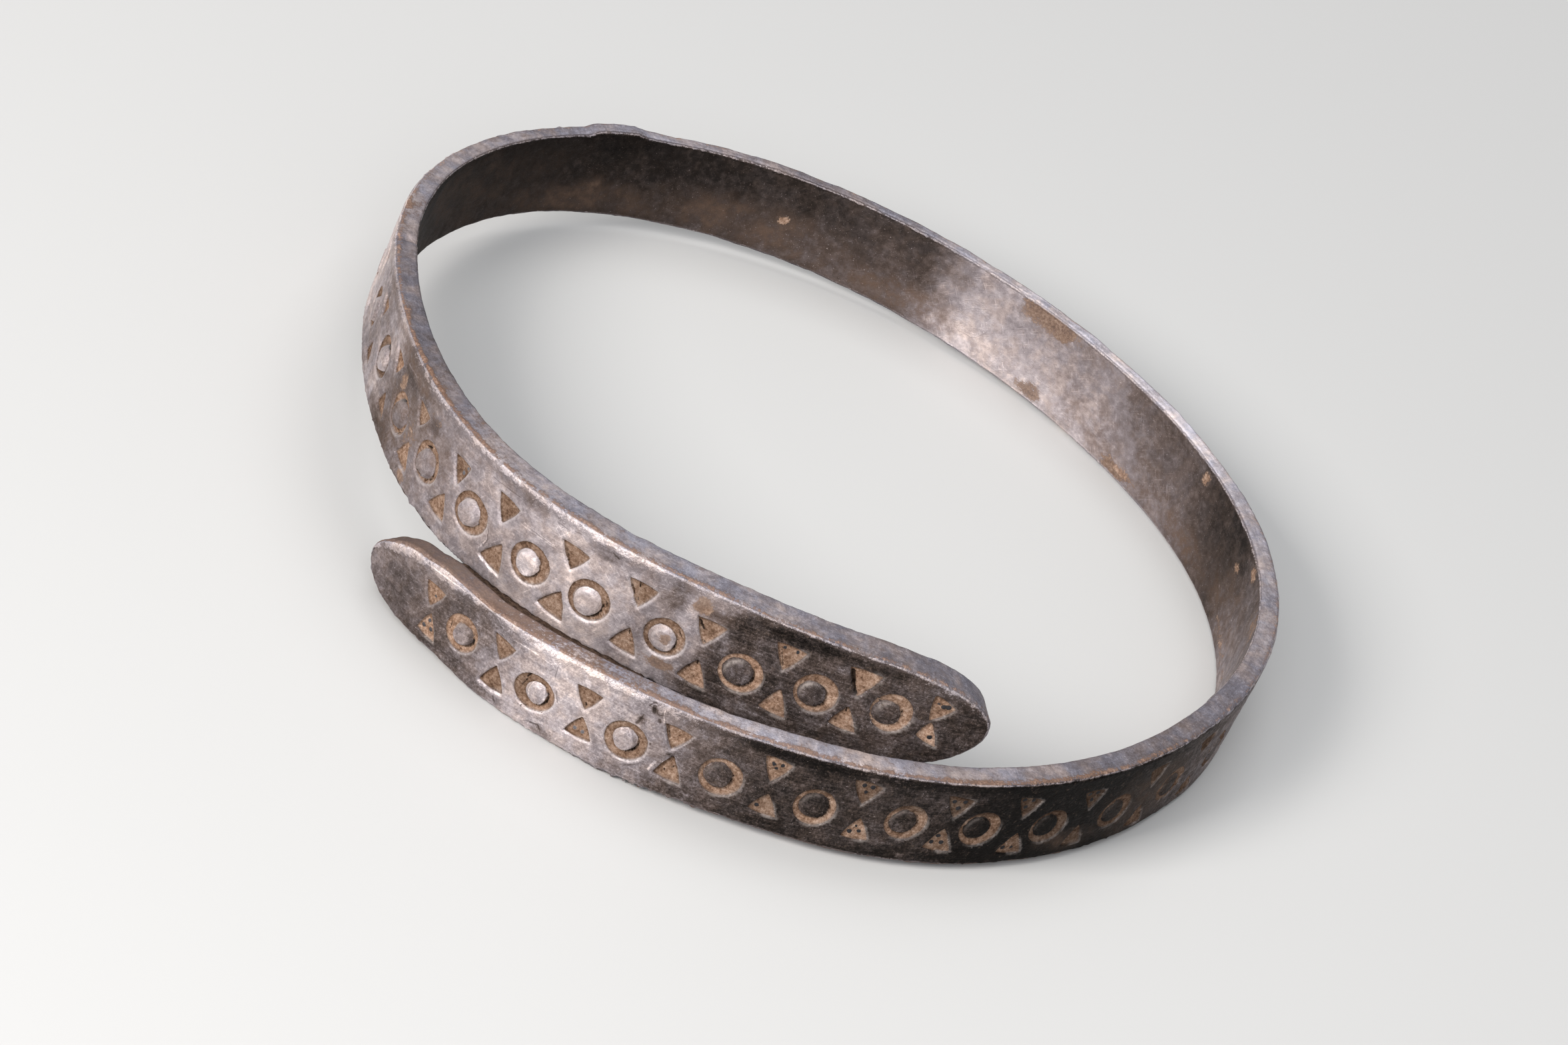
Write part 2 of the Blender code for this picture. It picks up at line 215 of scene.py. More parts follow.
# Cracks and pits in the soil: two ends and half width.
CRACKS = [
    (8.55, 0.2, 8.6, -0.3, 0.05), (15.2, 0.1, 15.35, 0.4, 0.07), (15.05, -0.7, 15.25, -0.1, 0.04),
    (19.63, 0.55, 19.72, 0.45, 0.08), (26.7, -1.05, 26.72, -0.95, 0.04), (26.2, -1.45, 26.22, -1.5, 0.06),
    (25.3, 1.95, 25.75, 1.1, 0.03), (30.7, -0.5, 30.7, -0.45, 0.05), (227.0, 1.9, 227.5, 0.95, 0.02),
    (231.0, -0.2, 231.1, -0.6, 0.05), (232.6, 2.45, 232.68, 2.1, 0.06), (232.2, 1.9, 232.5, 1.35, 0.04),
    (232.85, 1.2, 232.9, 1.1, 0.05), (233.2, -1.45, 233.22, -1.65, 0.06), (233.4, -2.0, 233.45, -2.1, 0.04),
    (236.2, 0.35, 236.55, -0.1, 0.04), (237.25, 1.75, 237.7, 1.2, 0.09), (238.05, 0.45, 238.1, 0.35, 0.05),
    (238.2, -1.35, 238.22, -1.5, 0.07), (237.7, -1.9, 237.8, -2.0, 0.04), (243.0, 2.1, 243.5, 1.0, 0.03),
    (247.95, 2.55, 248.3, 1.7, 0.15), (248.3, 1.7, 248.75, 0.9, 0.1), (248.6, -0.45, 248.62, -0.7, 0.05),
    (248.2, -1.5, 248.25, -1.6, 0.04), (251.7, -0.1, 252.2, 0.5, 0.03), (195.3, 0.45, 195.8, 0.3, 0.18),
    (201.6, 0.65, 202.0, 0.65, 0.16), (207.6, 0.2, 208.1, 0.45, 0.1), (212.9, 0.2, 213.2, 0.3, 0.1),
    (208.6, -1.9, 209.3, -1.3, 0.04), (213.0, -1.7, 213.6, -1.85, 0.04),
]

# Thin lines on the metal: dark ones painted as shade in cuts and scars, bright ones painted as highlights
# on creases and ridges. Two ends and half width.
DARK_LINES = [
    (23.55, 2.05, 23.5, 1.7, 0.03), (23.5, 1.7, 23.35, 1.2, 0.08), (23.7, 2.9, 23.85, 3.15, 0.03),
    (23.85, 3.15, 24.25, 3.4, 0.05), (24.02, 2.95, 24.12, 2.6, 0.12), (24.66, 2.2, 24.72, 2.1, 0.11),
    (26.0, -0.05, 26.15, 0.0, 0.05), (26.35, -0.1, 26.5, -0.15, 0.04), (24.7, 0.2, 24.72, 0.15, 0.04),
    (220.85, -0.1, 221.2, -0.75, 0.015), (221.2, -0.75, 221.38, -1.4, 0.02),
    (221.38, -1.4, 221.3, -1.9, 0.015), (17.0, 2.3, 17.1, 1.3, 0.0), (17.55, 0.45, 17.85, -0.3, 0.01),
    (15.95, -3.15, 16.45, -2.82, 0.0), (16.6, -2.9, 17.1, -2.75, 0.05), (17.1, -2.75, 17.35, -3.0, 0.05),
    (17.35, -3.0, 17.6, -3.4, 0.0), (13.5, -2.7, 13.75, -3.0, 0.03), (220.0, 2.95, 222.6, 3.1, 0.0),
    (226.0, 3.35, 226.7, 3.3, 0.0), (227.2, 3.5, 227.7, 3.55, 0.0), (230.2, 3.5, 230.7, 3.3, 0.03),
    (12.4, 3.75, 12.6, 4.1, 0.04), (19.85, 3.35, 20.4, 3.4, 0.0), (23.6, -2.35, 24.3, -1.85, 0.0),
    (32.0, -3.2, 36.0, -3.35, 0.04),
]
BRIGHT_LINES = [
    (11.8, 2.85, 12.6, 2.4, 0.03), (12.6, 2.4, 13.35, 2.18, 0.04), (13.35, 2.18, 15.2, 2.26, 0.03),
    (15.2, 2.26, 16.5, 2.15, 0.02), (16.5, 2.15, 17.1, 2.55, 0.03), (9.4, 3.05, 11.8, 3.0, 0.03),
    (12.1, -2.28, 13.9, -2.3, 0.04), (12.3, -2.52, 13.6, -2.55, 0.02), (9.4, -2.9, 11.3, -3.25, 0.02),
    (11.3, -3.25, 14.7, -3.35, 0.025), (9.0, -3.15, 12.0, -3.45, 0.02), (5.0, 2.75, 9.4, 3.05, 0.05),
    (24.75, 3.2, 24.85, 2.6, 0.04), (24.85, 2.6, 25.02, 2.2, 0.03), (25.45, -0.95, 25.2, -1.75, 0.08),
    (23.35, -2.25, 24.5, -1.45, 0.02), (23.6, -2.2, 24.4, -1.65, 0.015),
    (220.8, -0.1, 221.15, -0.75, 0.025), (221.15, -0.75, 221.33, -1.4, 0.03),
    (221.33, -1.4, 221.0, -2.3, 0.03), (221.2, -2.78, 222.2, -2.98, 0.04),
    (222.2, -2.98, 223.2, -3.2, 0.05), (223.6, 1.7, 226.2, 1.6, 0.02), (223.4, 1.45, 226.5, 1.5, 0.02),
    (206.7, 2.7, 209.0, 3.0, 0.06), (249.9, 2.7, 251.3, 2.6, 0.02), (250.9, 2.2, 252.5, 3.0, 0.015),
    (17.4, 3.3, 18.0, 3.35, 0.05), (45.5, -3.25, 48.5, -3.3, 0.04), (28.0, -3.3, 31.0, -3.35, 0.03),
    (41.9, -2.1, 42.4, -1.9, 0.06), (15.72, -0.15, 15.68, -0.6, 0.02), (15.68, -0.6, 15.95, -1.15, 0.02),
    (240.0, -2.3, 240.9, -2.5, 0.02), (233.5, 2.8, 235.5, 3.1, 0.015), (242.0, -3.3, 244.5, -3.3, 0.04),
]

# Gouges and creases of the struck face: two ends, half width and height (below zero it is cut in).
GOUGES = [
    (23.7, 2.9, 24.25, 3.4, 0.16, -0.08), (24.0, 2.9, 24.12, 2.6, 0.2, -0.1),
    (24.66, 2.2, 24.72, 2.15, 0.18, -0.08), (23.55, 2.05, 23.35, 1.15, 0.13, -0.12),
    (24.9, 3.2, 25.0, 2.2, 0.14, 0.07), (25.4, -1.0, 25.2, -1.7, 0.2, 0.05),
    (221.0, -0.25, 221.4, -1.35, 0.1, -0.07), (221.4, -1.35, 221.15, -2.15, 0.1, -0.07),
    (11.8, 2.95, 12.6, 2.5, 0.16, 0.09), (12.6, 2.5, 13.4, 2.3, 0.16, 0.09),
    (13.4, 2.3, 16.5, 2.25, 0.16, 0.08), (12.1, -2.35, 13.9, -2.38, 0.14, 0.08),
    (15.9, -3.2, 16.5, -2.85, 0.13, -0.07), (16.5, -2.85, 17.2, -2.75, 0.15, -0.09),
    (17.2, -2.75, 17.6, -3.4, 0.15, -0.07), (206.7, 2.7, 209.0, 3.0, 0.16, 0.05),
    (9.3, -2.9, 14.7, -3.3, 0.15, 0.04), (41.9, -2.1, 42.4, -1.9, 0.12, 0.05),
    (45.2, -3.2, 48.5, -3.25, 0.16, -0.06), (17.1, 2.5, 17.1, 1.25, 0.12, -0.03),
    (217.9, 2.5, 219.0, 2.9, 0.1, -0.05), (229.2, 3.6, 230.9, 3.0, 0.12, -0.05),
    (5.2, 2.7, 9.5, 3.0, 0.16, 0.06), (220.0, 2.95, 222.6, 3.1, 0.14, -0.04),
    (26.0, -0.1, 26.5, 0.0, 0.16, -0.04), (230.2, 3.5, 230.8, 3.2, 0.25, -0.08),
]

# How dark the tarnish is, 0 bright silver to 1 black-brown and on, at places along each side of the strip.
TARNISH_OUTSIDE = [
    (0, 0.65), (5, 0.73), (9, 0.84), (11.5, 0.66), (14, 0.41), (18, 0.31), (21, 0.35), (24.5, 0.53),
    (26, 0.66), (28, 0.8), (31, 1.03), (35, 1.3), (38, 1.13), (45, 1.17), (51, 1.8), (58, 1.8), (63, 1.47),
    (70, 0.9), (80, 0.43), (100, 0.33), (125, 0.63), (150, 0.43), (170, 0.58), (184, 0.2), (190, 0.17),
    (198, 0.6), (203, 0.37), (206, 0.79), (210, 0.69), (215, 0.54), (218, 0.51), (220, 0.39), (223, 0.45),
    (227, 0.31), (230, 0.28), (232, 0.3), (234, 0.54), (236, 0.32), (238, 0.52), (240, 1.02), (243, 1.02),
    (253, 0.94), (257, 1.2), (259, 0.99),
]
TARNISH_INSIDE = [
    (0, 0.33), (50, 0.28), (84, 0.58), (90, 0.69), (94, 0.91), (97, 1.19), (101, 1.06), (106, 0.76),
    (111, 0.72), (116, 0.45), (124, 0.38), (129, 0.3), (131.5, 0.64), (134, 0.96), (143, 1.08), (152, 1.25),
    (160, 1.36), (190, 1.48), (200, 0.73), (259, 0.43),
]
TARNISH_EDGES = [
    (0, 0.33), (10, 0.18), (16, 0.28), (21, 0.38), (26, 0.28), (30, 0.19), (45, 0.35), (55, 0.52),
    (66, 0.63), (76, 0.52), (86, 0.4), (98, 0.31), (108, 0.06), (122, 0.18), (130, 0.26), (142, 0.57),
    (155, 0.34), (166, 0.46), (180, 0.37), (190, 0.48), (200, 0.55), (210, 0.66), (218, 0.39), (236, 0.4),
    (243, 0.48), (250, 0.6), (259, 0.43),
]

# How coarse the struck face looks, and how bright its upper corner is made by wear and a painted sheen.
COARSENESS = [
    (0, 0.6), (7, 0.65), (10, 0.9), (26, 0.95), (40, 0.8), (188, 0.6), (216, 0.6), (234, 0.6), (240, 0.95),
    (259, 0.85),
]
RIM_WEAR_AND_SHEEN = [
    (0, 0.8), (2, 1.4), (12, 1.3), (18, 1.4), (24, 1.1), (29, 0.4), (60, 0.3), (66, 0.1), (188, 0.2),
    (196, 0.9), (215, 0.9), (222, 1.1), (232, 0.9), (236, 0.5), (252, 0.4), (256, 0.9), (259, 0.9),
]

# Darker (or, below zero, brighter) patches of the struck face: middle, reach along and across, and how much.
# Most are tarnish; the bright ones along the top of the face near end A are painted sheen, and the dark ones
# at the scar near 24 mm are painted shade.
STAINS_AND_PAINTED_LIGHT = [
    (3.6, -0.3, 2.2, 2.2, 0.12), (8.0, -2.5, 4.0, 0.9, 0.16), (13.0, -2.9, 1.8, 0.5, 0.16),
    (2.0, 2.3, 2.5, 0.7, -0.25), (6.5, 2.7, 3.5, 0.6, -0.2), (17.6, -3.1, 0.9, 0.6, 0.25),
    (24.35, 2.95, 0.6, 0.5, 0.45), (23.6, 1.7, 0.35, 0.5, 0.35), (25.35, -1.4, 0.25, 0.4, -0.25),
    (26.3, 0.0, 0.5, 0.25, 0.2), (26.5, -2.8, 1.6, 0.7, 0.22), (22.6, -2.9, 1.0, 0.5, 0.16),
    (46.0, 3.3, 20.0, 0.6, 0.3), (33.0, 3.3, 3.0, 0.6, 0.2), (43.0, -3.0, 4.0, 0.5, 0.15),
    (60.5, -3.6, 2.0, 0.6, 0.5), (229.9, 3.2, 1.3, 0.6, 0.35), (232.6, 3.5, 1.6, 0.5, 0.22),
    (222.5, 3.5, 3.0, 0.6, 0.2), (231.5, 2.6, 0.8, 1.0, 0.08), (235.3, 2.4, 0.9, 1.8, 0.3),
    (233.3, 3.0, 1.2, 0.5, 0.2), (226.0, 2.9, 1.8, 0.8, -0.08), (225.9, 1.2, 0.8, 0.7, 0.08),
    (237.9, 2.7, 1.5, 0.5, 0.35), (239.8, 2.6, 1.2, 1.4, 0.35), (238.6, 0.0, 0.8, 1.2, 0.25),
    (238.0, -3.4, 2.2, 0.5, 0.2), (244.5, 3.4, 4.0, 0.6, 0.35), (250.0, 3.4, 2.5, 0.5, 0.25),
    (243.9, 0.0, 1.0, 0.5, 0.1), (241.9, 3.0, 0.7, 0.5, 0.2), (16.4, 2.4, 2.2, 0.6, -0.12),
    (245.0, 3.4, 4.0, 0.5, 0.1), (249.0, -3.0, 3.0, 0.5, 0.1), (242.0, -3.3, 2.5, 0.6, -0.2),
    (205.0, -3.2, 3.0, 0.8, 0.22), (208.0, 2.2, 1.5, 0.6, 0.12), (213.3, 2.0, 0.9, 0.7, 0.2),
    (215.5, 1.0, 0.6, 1.0, 0.05), (31.5, 0.0, 0.6, 1.5, -0.1), (34.8, 0.5, 0.7, 2.0, -0.08),
    (41.6, -2.0, 1.0, 0.5, -0.3), (39.6, 3.0, 0.25, 0.25, -0.5), (43.6, -3.0, 0.2, 0.2, -0.6),
]

# How much dry soil clings to the edges along the strip, how much more to their outer part, and how much
# lighter (or, below zero, darker) it is.
EDGE_SOIL = [
    (0, 0.9), (3, 1.0), (9, 1.0), (13, 0.78), (17, 0.58), (24, 0.46), (30, 0.3), (42, 0.26), (50, 0.22),
    (58, 0.1), (70, 0.08), (100, 0.06), (160, 0.12), (182, 0.15), (187, 0.4), (191, 0.15), (200, 0.12),
    (206, 0.2), (216, 0.34), (222, 0.24), (234, 0.26), (244, 0.18), (259, 0.1),
]
OUTER_EDGE_SOIL = [
    (0, 0.0), (20, 0.1), (28, 0.5), (60, 0.6), (70, 0.4), (186, 0.3), (200, 0.5), (212, 0.6), (220, 0.4),
    (259, 0.4),
]
EDGE_TONES = [(0, -0.3), (7, -0.25), (10, 0.12), (16, 0.12), (20, 0.0), (259, 0.0)]

# Smears of soil on the faces: middle, reach along and across, and how thick.
OUTER_SMEARS = [
    (237.1, 2.9, 0.85, 0.8, 1.25), (235.8, -2.6, 1.4, 0.6, 1.0), (207.2, 1.4, 0.7, 0.7, 0.75),
    (211.3, -3.5, 0.7, 0.6, 0.75), (210.6, -0.8, 1.3, 1.6, 0.5), (213.5, 2.6, 2.2, 0.6, 0.35),
    (235.6, -0.7, 0.4, 0.45, 0.9),
]
INNER_SMEARS = [
    (122.6, 3.0, 2.6, 1.0, 1.1), (121.6, -2.7, 1.8, 0.7, 1.0), (112.0, -2.9, 2.2, 0.7, 1.0),
    (104.2, 2.7, 0.6, 0.6, 0.9), (86.0, 3.0, 2.5, 1.2, 0.6), (92.5, 3.0, 1.0, 0.6, 0.8),
    (90.0, -2.6, 5.0, 0.7, 0.5), (95.3, 1.4, 0.8, 0.5, 0.8), (144.4, -0.2, 0.4, 0.4, 1.3),
]

# Soil packed between the runs and painted dark as the shade in the gap, from one place along run A to another.
# PACKED_OPPOSITE is the place on run B that faces A's start, and PACKED_STRETCH how far it moves on for each
# millimetre of A. How far the soil's foot is below A's upper edge and above B's lower edge, how high it is
# against each, and how deep it bites into them.
PACKED_FROM = 3.5
PACKED_TO = 24.0
PACKED_OPPOSITE = 215.7
PACKED_STRETCH = 0.89
PACKED_LOW_A = 2.4
PACKED_HIGH_A = 1.5
PACKED_LOW_B = -0.7
PACKED_HIGH_B = 1.1
PACKED_BITE = 0.1

# Waviness of the face, back, edges and corners, in millimetres for broad, middling and fine noise. How much
# the face slopes off to its upper edge near tongue A, and how deep the lower edge is torn there.
FACE_UNEVEN = (0.06, 0.028, 0.008)
BACK_UNEVEN = (0.07, 0.05, 0.012)
EDGE_UNEVEN = (0.06, 0.045, 0.02)
OUTER_CORNER_UNEVEN = (0.08, 0.1, 0.06)
OUTER_CORNER_WEAR = 0.03
INNER_CORNER_UNEVEN = (0.05,)
INNER_CORNER_WEAR = 0.02
TOP_SLOPE = 0.13
TORN_DEPTH = 0.4

# Thin brown films over the metal: middle, reach along and across, and how thick.
OUTER_FILMS = [
    (200.0, 2.0, 2.5, 1.5, 0.3), (64.5, -0.5, 4.0, 3.0, 0.4), (57.5, -2.2, 3.0, 0.9, 0.4),
    (207.0, -1.0, 4.0, 3.0, 0.5), (204.0, 3.2, 9.0, 0.7, 0.6), (213.5, 0.5, 3.0, 2.5, 0.3),
    (237.5, 2.8, 1.6, 0.9, 0.35), (1.5, 2.2, 1.5, 0.8, 0.2),
]
INNER_FILMS = [
    (146.0, -1.6, 9.0, 1.9, 0.6), (134.0, -2.0, 6.0, 1.4, 0.6), (162.0, -2.0, 8.0, 1.5, 0.6),
    (116.0, -1.5, 6.0, 1.8, 0.45), (104.0, -2.4, 6.0, 1.2, 0.6), (94.0, -1.0, 5.0, 2.0, 0.5),
    (176.0, 0.0, 12.0, 4.0, 0.35), (160.1, -0.8, 0.7, 0.6, 0.8),
]

# Colours: bright silver to black tarnish, dry soil from its hollows up, and what lies on the silver.
SILVER_TO_TARNISH = [
    (0.0, 0.84, 0.72, 0.69), (0.075, 0.62, 0.53, 0.51), (0.15, 0.42, 0.36, 0.355), (0.3, 0.21, 0.176, 0.176),
    (0.45, 0.107, 0.084, 0.079), (0.6, 0.053, 0.04, 0.0355), (0.8, 0.018, 0.0138, 0.012),
    (1.0, 0.005, 0.0038, 0.0033),
]
SOIL_COLOURS = [
    (0.1, 0.06, 0.032, 0.02), (0.36, 0.17, 0.1, 0.065), (0.55, 0.26, 0.165, 0.115), (0.85, 0.42, 0.3, 0.23),
]
WARM = (1.025, 0.99, 0.955, 1)
COOL = (0.97, 0.99, 1.025, 1)
DUST_BROWN = (0.16, 0.115, 0.09, 1)
# Painted reflection: a blue tint for the edges.
EDGE_REFLECTION_BLUE = (0.84, 0.92, 1.04, 1)
PALE_PELLET = (0.13, 0.122, 0.128, 1)
DARK_PELLET = (0.026, 0.025, 0.027, 1)
FILM_BROWN = (0.135, 0.086, 0.062, 1)
EDGE_SOIL_RED = (1.06, 0.97, 0.93, 1)
# Colours of the painted highlights on rims and boss bevels.
PALE_RIM_HIGHLIGHT = (0.6, 0.55, 0.55, 1)
DARK_RIM_HIGHLIGHT = (0.4, 0.345, 0.32, 1)
# Colours of the packed soil between the runs, painted dark as the shade there.
PACKED_SOIL_SHADE_DARK = (0.045, 0.028, 0.019, 1)
PACKED_SOIL_SHADE_LIGHT = (0.13, 0.085, 0.06, 1)
FLOOR_COLOUR = (0.55, 0.545, 0.535, 1)

# The studio in metres. Softboxes: name, place, width, power and colour.
SOFTBOXES = [
    ("key", (-0.4, -0.37, 0.33), 0.22, 4.4, (1.0, 0.97, 0.94)),
    ("front", (-0.13, -0.5, 0.45), 0.5, 2.6, (0.97, 0.98, 1.0)),
    ("top", (0.05, 0.2, 0.6), 0.5, 1.6, (1, 1, 1)),
    ("fill", (0.36, -0.5, 0.42), 0.8, 0.9, (0.96, 0.98, 1.0)),
]
SKY_COLOUR = (0.78, 0.82, 0.88, 1)
SKY_STRENGTH = 0.3
FLOOR_HALF = 3.0
FLOOR_DROP = 0.0001
CAMERA_PLACE = (-0.06367, -0.4914, 0.32548)
CAMERA_AIM = (-0.001, 0.00077, 0.00098)
CAMERA_ROLL = 24.88
CAMERA_LENS = 194.35


def smooth_through(values, share):
    """Read a natural cubic through evenly spaced values, at shares 0 to 1 of the way along."""
    values = np.asarray(values, float)
    last = len(values) - 1
    bend = np.zeros(last + 1)
    matrix = 4 * np.eye(last - 1) + np.eye(last - 1, k=1) + np.eye(last - 1, k=-1)
    bend[1:-1] = np.linalg.solve(matrix, 6 * np.diff(values, 2))
    place = np.clip(share, 0, 1) * last
    left = np.minimum(place.astype(int), last - 1)
    far = place - left
    near = 1 - far
    straight = near * values[left] + far * values[left + 1]
    curved = (near**3 - near) * bend[left] + (far**3 - far) * bend[left + 1]
    return straight + curved / 6


def unit(vectors):
    return vectors / np.linalg.norm(vectors, axis=1)[:, None]


def eased(low, high, value):
    """0 below low, 1 above high and a smooth rise between them."""
    share = np.clip((value - low) / (high - low), 0, 1)
    return share * share * (3 - 2 * share)


def along_strip(points, u):
    places, values = np.array(points, float).T
    return np.interp(u, places, values)


class Coil:
    """The bent middle line of the strip, with its directions, thickness and length along the struck face."""

    def __init__(self):
        share = np.linspace(0, 1, COIL_SAMPLES)
        turn = np.radians(COIL_START + (COIL_END - COIL_START) * share)
        radius = smooth_through(COIL_RADII, share)
        height = COIL_LOW + COIL_RISE * share + COIL_SWELL * 4 * share * (1 - share)
        self.middle = np.stack([radius * np.cos(turn), radius * np.sin(turn), height], axis=1)
        along = unit(np.gradient(self.middle, axis=0))
        up = np.array([0.0, 0.0, 1.0])
        across = unit(up - along * along[:, 2:])
        out = np.cross(along, across)
        lean = np.radians(LEAN_AT_A + (LEAN_AT_B - LEAN_AT_A) * share)[:, None]
        self.across = across * np.cos(lean) + out * np.sin(lean)
        self.out = out * np.cos(lean) - across * np.sin(lean)
        self.width = smooth_through(STRIP_WIDTHS, share)
        self.thickness = smooth_through(STRIP_THICKNESSES, share)
        face = self.middle + self.out * self.thickness[:, None] / 2
        steps = np.linalg.norm(np.diff(face, axis=0), axis=1)
        self.length = np.concatenate([[0.0], np.cumsum(steps)])

    def read(self, values, u):
        if values.ndim == 1:
            return np.interp(u, self.length, values)
        return np.stack([np.interp(u, self.length, column) for column in values.T], axis=1)

    def bend(self, flat):
        u, v, z = flat.T
        across = self.read(self.across, u)
        out = self.read(self.out, u)
        return self.read(self.middle, u) + across * v[:, None] + out * z[:, None]


def lie_down(points):
    """Tip the coil so that it lies on its lower edge, with the origin under its middle."""
    tilt = Matrix.Rotation(
        math.radians(REST_TILT), 3,
        (math.cos(math.radians(REST_TILT_AXIS)), math.sin(math.radians(REST_TILT_AXIS)), 0),
    )
    placed = points @ np.array(tilt).T
    placed -= np.array([REST_CENTRE[0], REST_CENTRE[1], -REST_HEIGHT])
    placed[:, 2] = np.maximum(placed[:, 2], 0)
    return placed


def section_columns():
    """One turn round the strip's section: how far in from the outline, which way across, and where in depth.

    Depth is the share of half the thickness, and a distance that is added to it.
    """
    columns = []
    corner = np.linspace(0, math.pi / 2, CORNER_COLUMNS + 1)[1:]
    for across in np.linspace(-1, 1, OUTER_COLUMNS):
        columns.append((OUTER_CORNER, across, 1, 0.0))
    for angle in corner:
        inset = OUTER_CORNER * (1 - math.sin(angle))
        columns.append((inset, 1, 1, -OUTER_CORNER * (1 - math.cos(angle))))
    for share in np.linspace(0, 1, EDGE_COLUMNS + 1)[1:]:
        depth = 1 - 2 * share
        added = -OUTER_CORNER * (1 - share) + INNER_CORNER * share
        columns.append((0.0, 1, depth, added))
    for angle in corner:
        inset = INNER_CORNER * (1 - math.cos(angle))
        columns.append((inset, 1, -1, INNER_CORNER * (1 - math.sin(angle))))
    for across in np.linspace(1, -1, INNER_COLUMNS)[1:]:
        columns.append((INNER_CORNER, across, -1, 0.0))
    for angle in corner:
        inset = INNER_CORNER * (1 - math.sin(angle))
        columns.append((inset, -1, -1, INNER_CORNER * (1 - math.cos(angle))))
    for share in np.linspace(0, 1, EDGE_COLUMNS + 1)[1:]:
        depth = 2 * share - 1
        added = INNER_CORNER * (1 - share) - OUTER_CORNER * share
        columns.append((0.0, -1, depth, added))
    for angle in corner:
        inset = OUTER_CORNER * (1 - math.cos(angle))
        columns.append((inset, -1, 1, -OUTER_CORNER * (1 - math.sin(angle))))
    return np.array(columns)


def strip_rows():
    """Rows along the strip: the turn round tongue A, the place between the tongues, the turn round B."""
    quarter = np.linspace(0, math.pi / 2, TONGUE_ROWS + 1)
    stretches = [
        (TONGUE_A, RAGGED_TO, RAGGED_ROWS), (RAGGED_TO, HIDDEN_FROM, SEEN_ROWS),
        (HIDDEN_FROM, HIDDEN_TO, HIDDEN_ROWS), (HIDDEN_TO, STRIP_LENGTH - TONGUE_B, SEEN_ROWS),
    ]
    rows = [(angle, TONGUE_A, math.pi / 2) for angle in quarter]
    for start, end, spacing in stretches:
        for place in np.linspace(start, end, round((end - start) / spacing) + 1)[1:]:
            rows.append((math.pi / 2, place, math.pi / 2))
    rows += [(math.pi / 2, STRIP_LENGTH - TONGUE_B, angle) for angle in quarter[::-1][1:]]
    return np.array(rows)


def flat_places(coil, rows, columns):
    """Where each row and column of the sheet lies on the flat, closed strip."""
    turn_a, between, turn_b = rows.T
    inset, across, depth, added = columns.T
    by_a = inset + (TONGUE_A - inset) * (1 - np.cos(turn_a))
    by_b = STRIP_LENGTH - inset - (TONGUE_B - inset) * (1 - np.cos(turn_b))
    u = np.where(turn_a < math.pi / 2, by_a, np.where(turn_b < math.pi / 2, by_b, between))
    half = coil.read(coil.width, u) / 2 - inset
    half = half * np.sin(turn_a) * np.sin(turn_b)
    v = TONGUE_B_OFFSET * np.cos(turn_b) ** 2 + across * half
    z = depth * coil.read(coil.thickness, u) / 2 + added
    return np.stack([u, v, z], axis=1)


def closed_sheet(coil):
    """A grid wrapped round the strip's section and drawn together at both tongues, then welded."""
    rows = strip_rows()
    columns = section_columns()
    sheet = bmesh.new()
    bmesh.ops.create_grid(sheet, x_segments=len(rows) - 1, y_segments=len(columns), size=1)
    grid = np.array([vert.co for vert in sheet.verts])
    row = np.rint((grid[:, 0] + 1) / 2 * (len(rows) - 1)).astype(int)
    column = np.rint((grid[:, 1] + 1) / 2 * len(columns)).astype(int) % len(columns)
    move_points(sheet, flat_places(coil, rows[row], columns[column]))
    bmesh.ops.remove_doubles(sheet, verts=sheet.verts[:], dist=0.0004)
    bmesh.ops.recalc_face_normals(sheet, faces=sheet.faces[:])
    return sheet


def ring_marks():
    """Every ring punch, the hidden ones at even spaces, with small differences in how each was struck."""
    first = np.array(RINGS_BY_A[-1][:2])
    last = np.array(RINGS_BY_B[0][:2])
    rings = list(RINGS_BY_A)
    for share in np.linspace(0, 1, RINGS_ON_FAR_SIDE + 2)[1:-1]:
        along, across = first + share * (last - first)
        stray_u = 0.1 * noise.noise(Vector((along, 7.7, 0.0)))
        stray_v = 0.1 * noise.noise(Vector((along, 0.0, 7.7)))
        foot = (along - 0.15 + stray_u, across - 0.05 + stray_v, 1.0)
        rings.append((along, across, 1.55, 1.5, *foot, foot[0], foot[1] - 0.1, 0.82, 0.2))
    return [Ring(*values) for values in rings + RINGS_BY_B]


def ring_distance(u, v, ring):
    """Distance to a ring's outer outline, below zero inside it."""
    shares = np.hypot((u - ring.u) / ring.reach_u, (v - ring.v) / ring.reach_v)
    return (shares - 1) * (ring.reach_u + ring.reach_v) / 2


def boss_insets(u, v, ring):
    """How far each point lies inside the foot of a ring's boss, and inside the boss's flat top."""
    foot = ring.foot - np.hypot(u - ring.foot_u, v - ring.foot_v)
    top = ring.top - np.hypot(u - ring.top_u, v - ring.top_v)
    return foot, top


def triangle_marks(rings):
    """Every triangle punch as its three corners; those on the hidden far side lie between the rings."""
    marks = [np.reshape(corners, (3, 2)) for corners in TRIANGLES]
    far = [ring for ring in rings if RINGS_BY_A[-1][0] <= ring.u <= RINGS_BY_B[0][0]]
    for left, right in zip(far, far[1:]):
        middle = np.array([(left.u + right.u) / 2 + 0.1, (left.v + right.v) / 2 + 0.25])
        for side in (1, -1):
            angle = 0.16 * noise.noise(Vector((middle[0], side * 3.3, 1.0)))
            turn = np.array([[math.cos(angle), math.sin(angle)], [-math.sin(angle), math.cos(angle)]])
            half = FAR_TRIANGLE_HALF
            high = side * FAR_TRIANGLE_RISE
            corners = np.array([(-half, high), (half, high), (0.0, -high)]) @ turn
            marks.append(middle + (0, side * FAR_TRIANGLE_MIDDLE) + corners)
    return marks


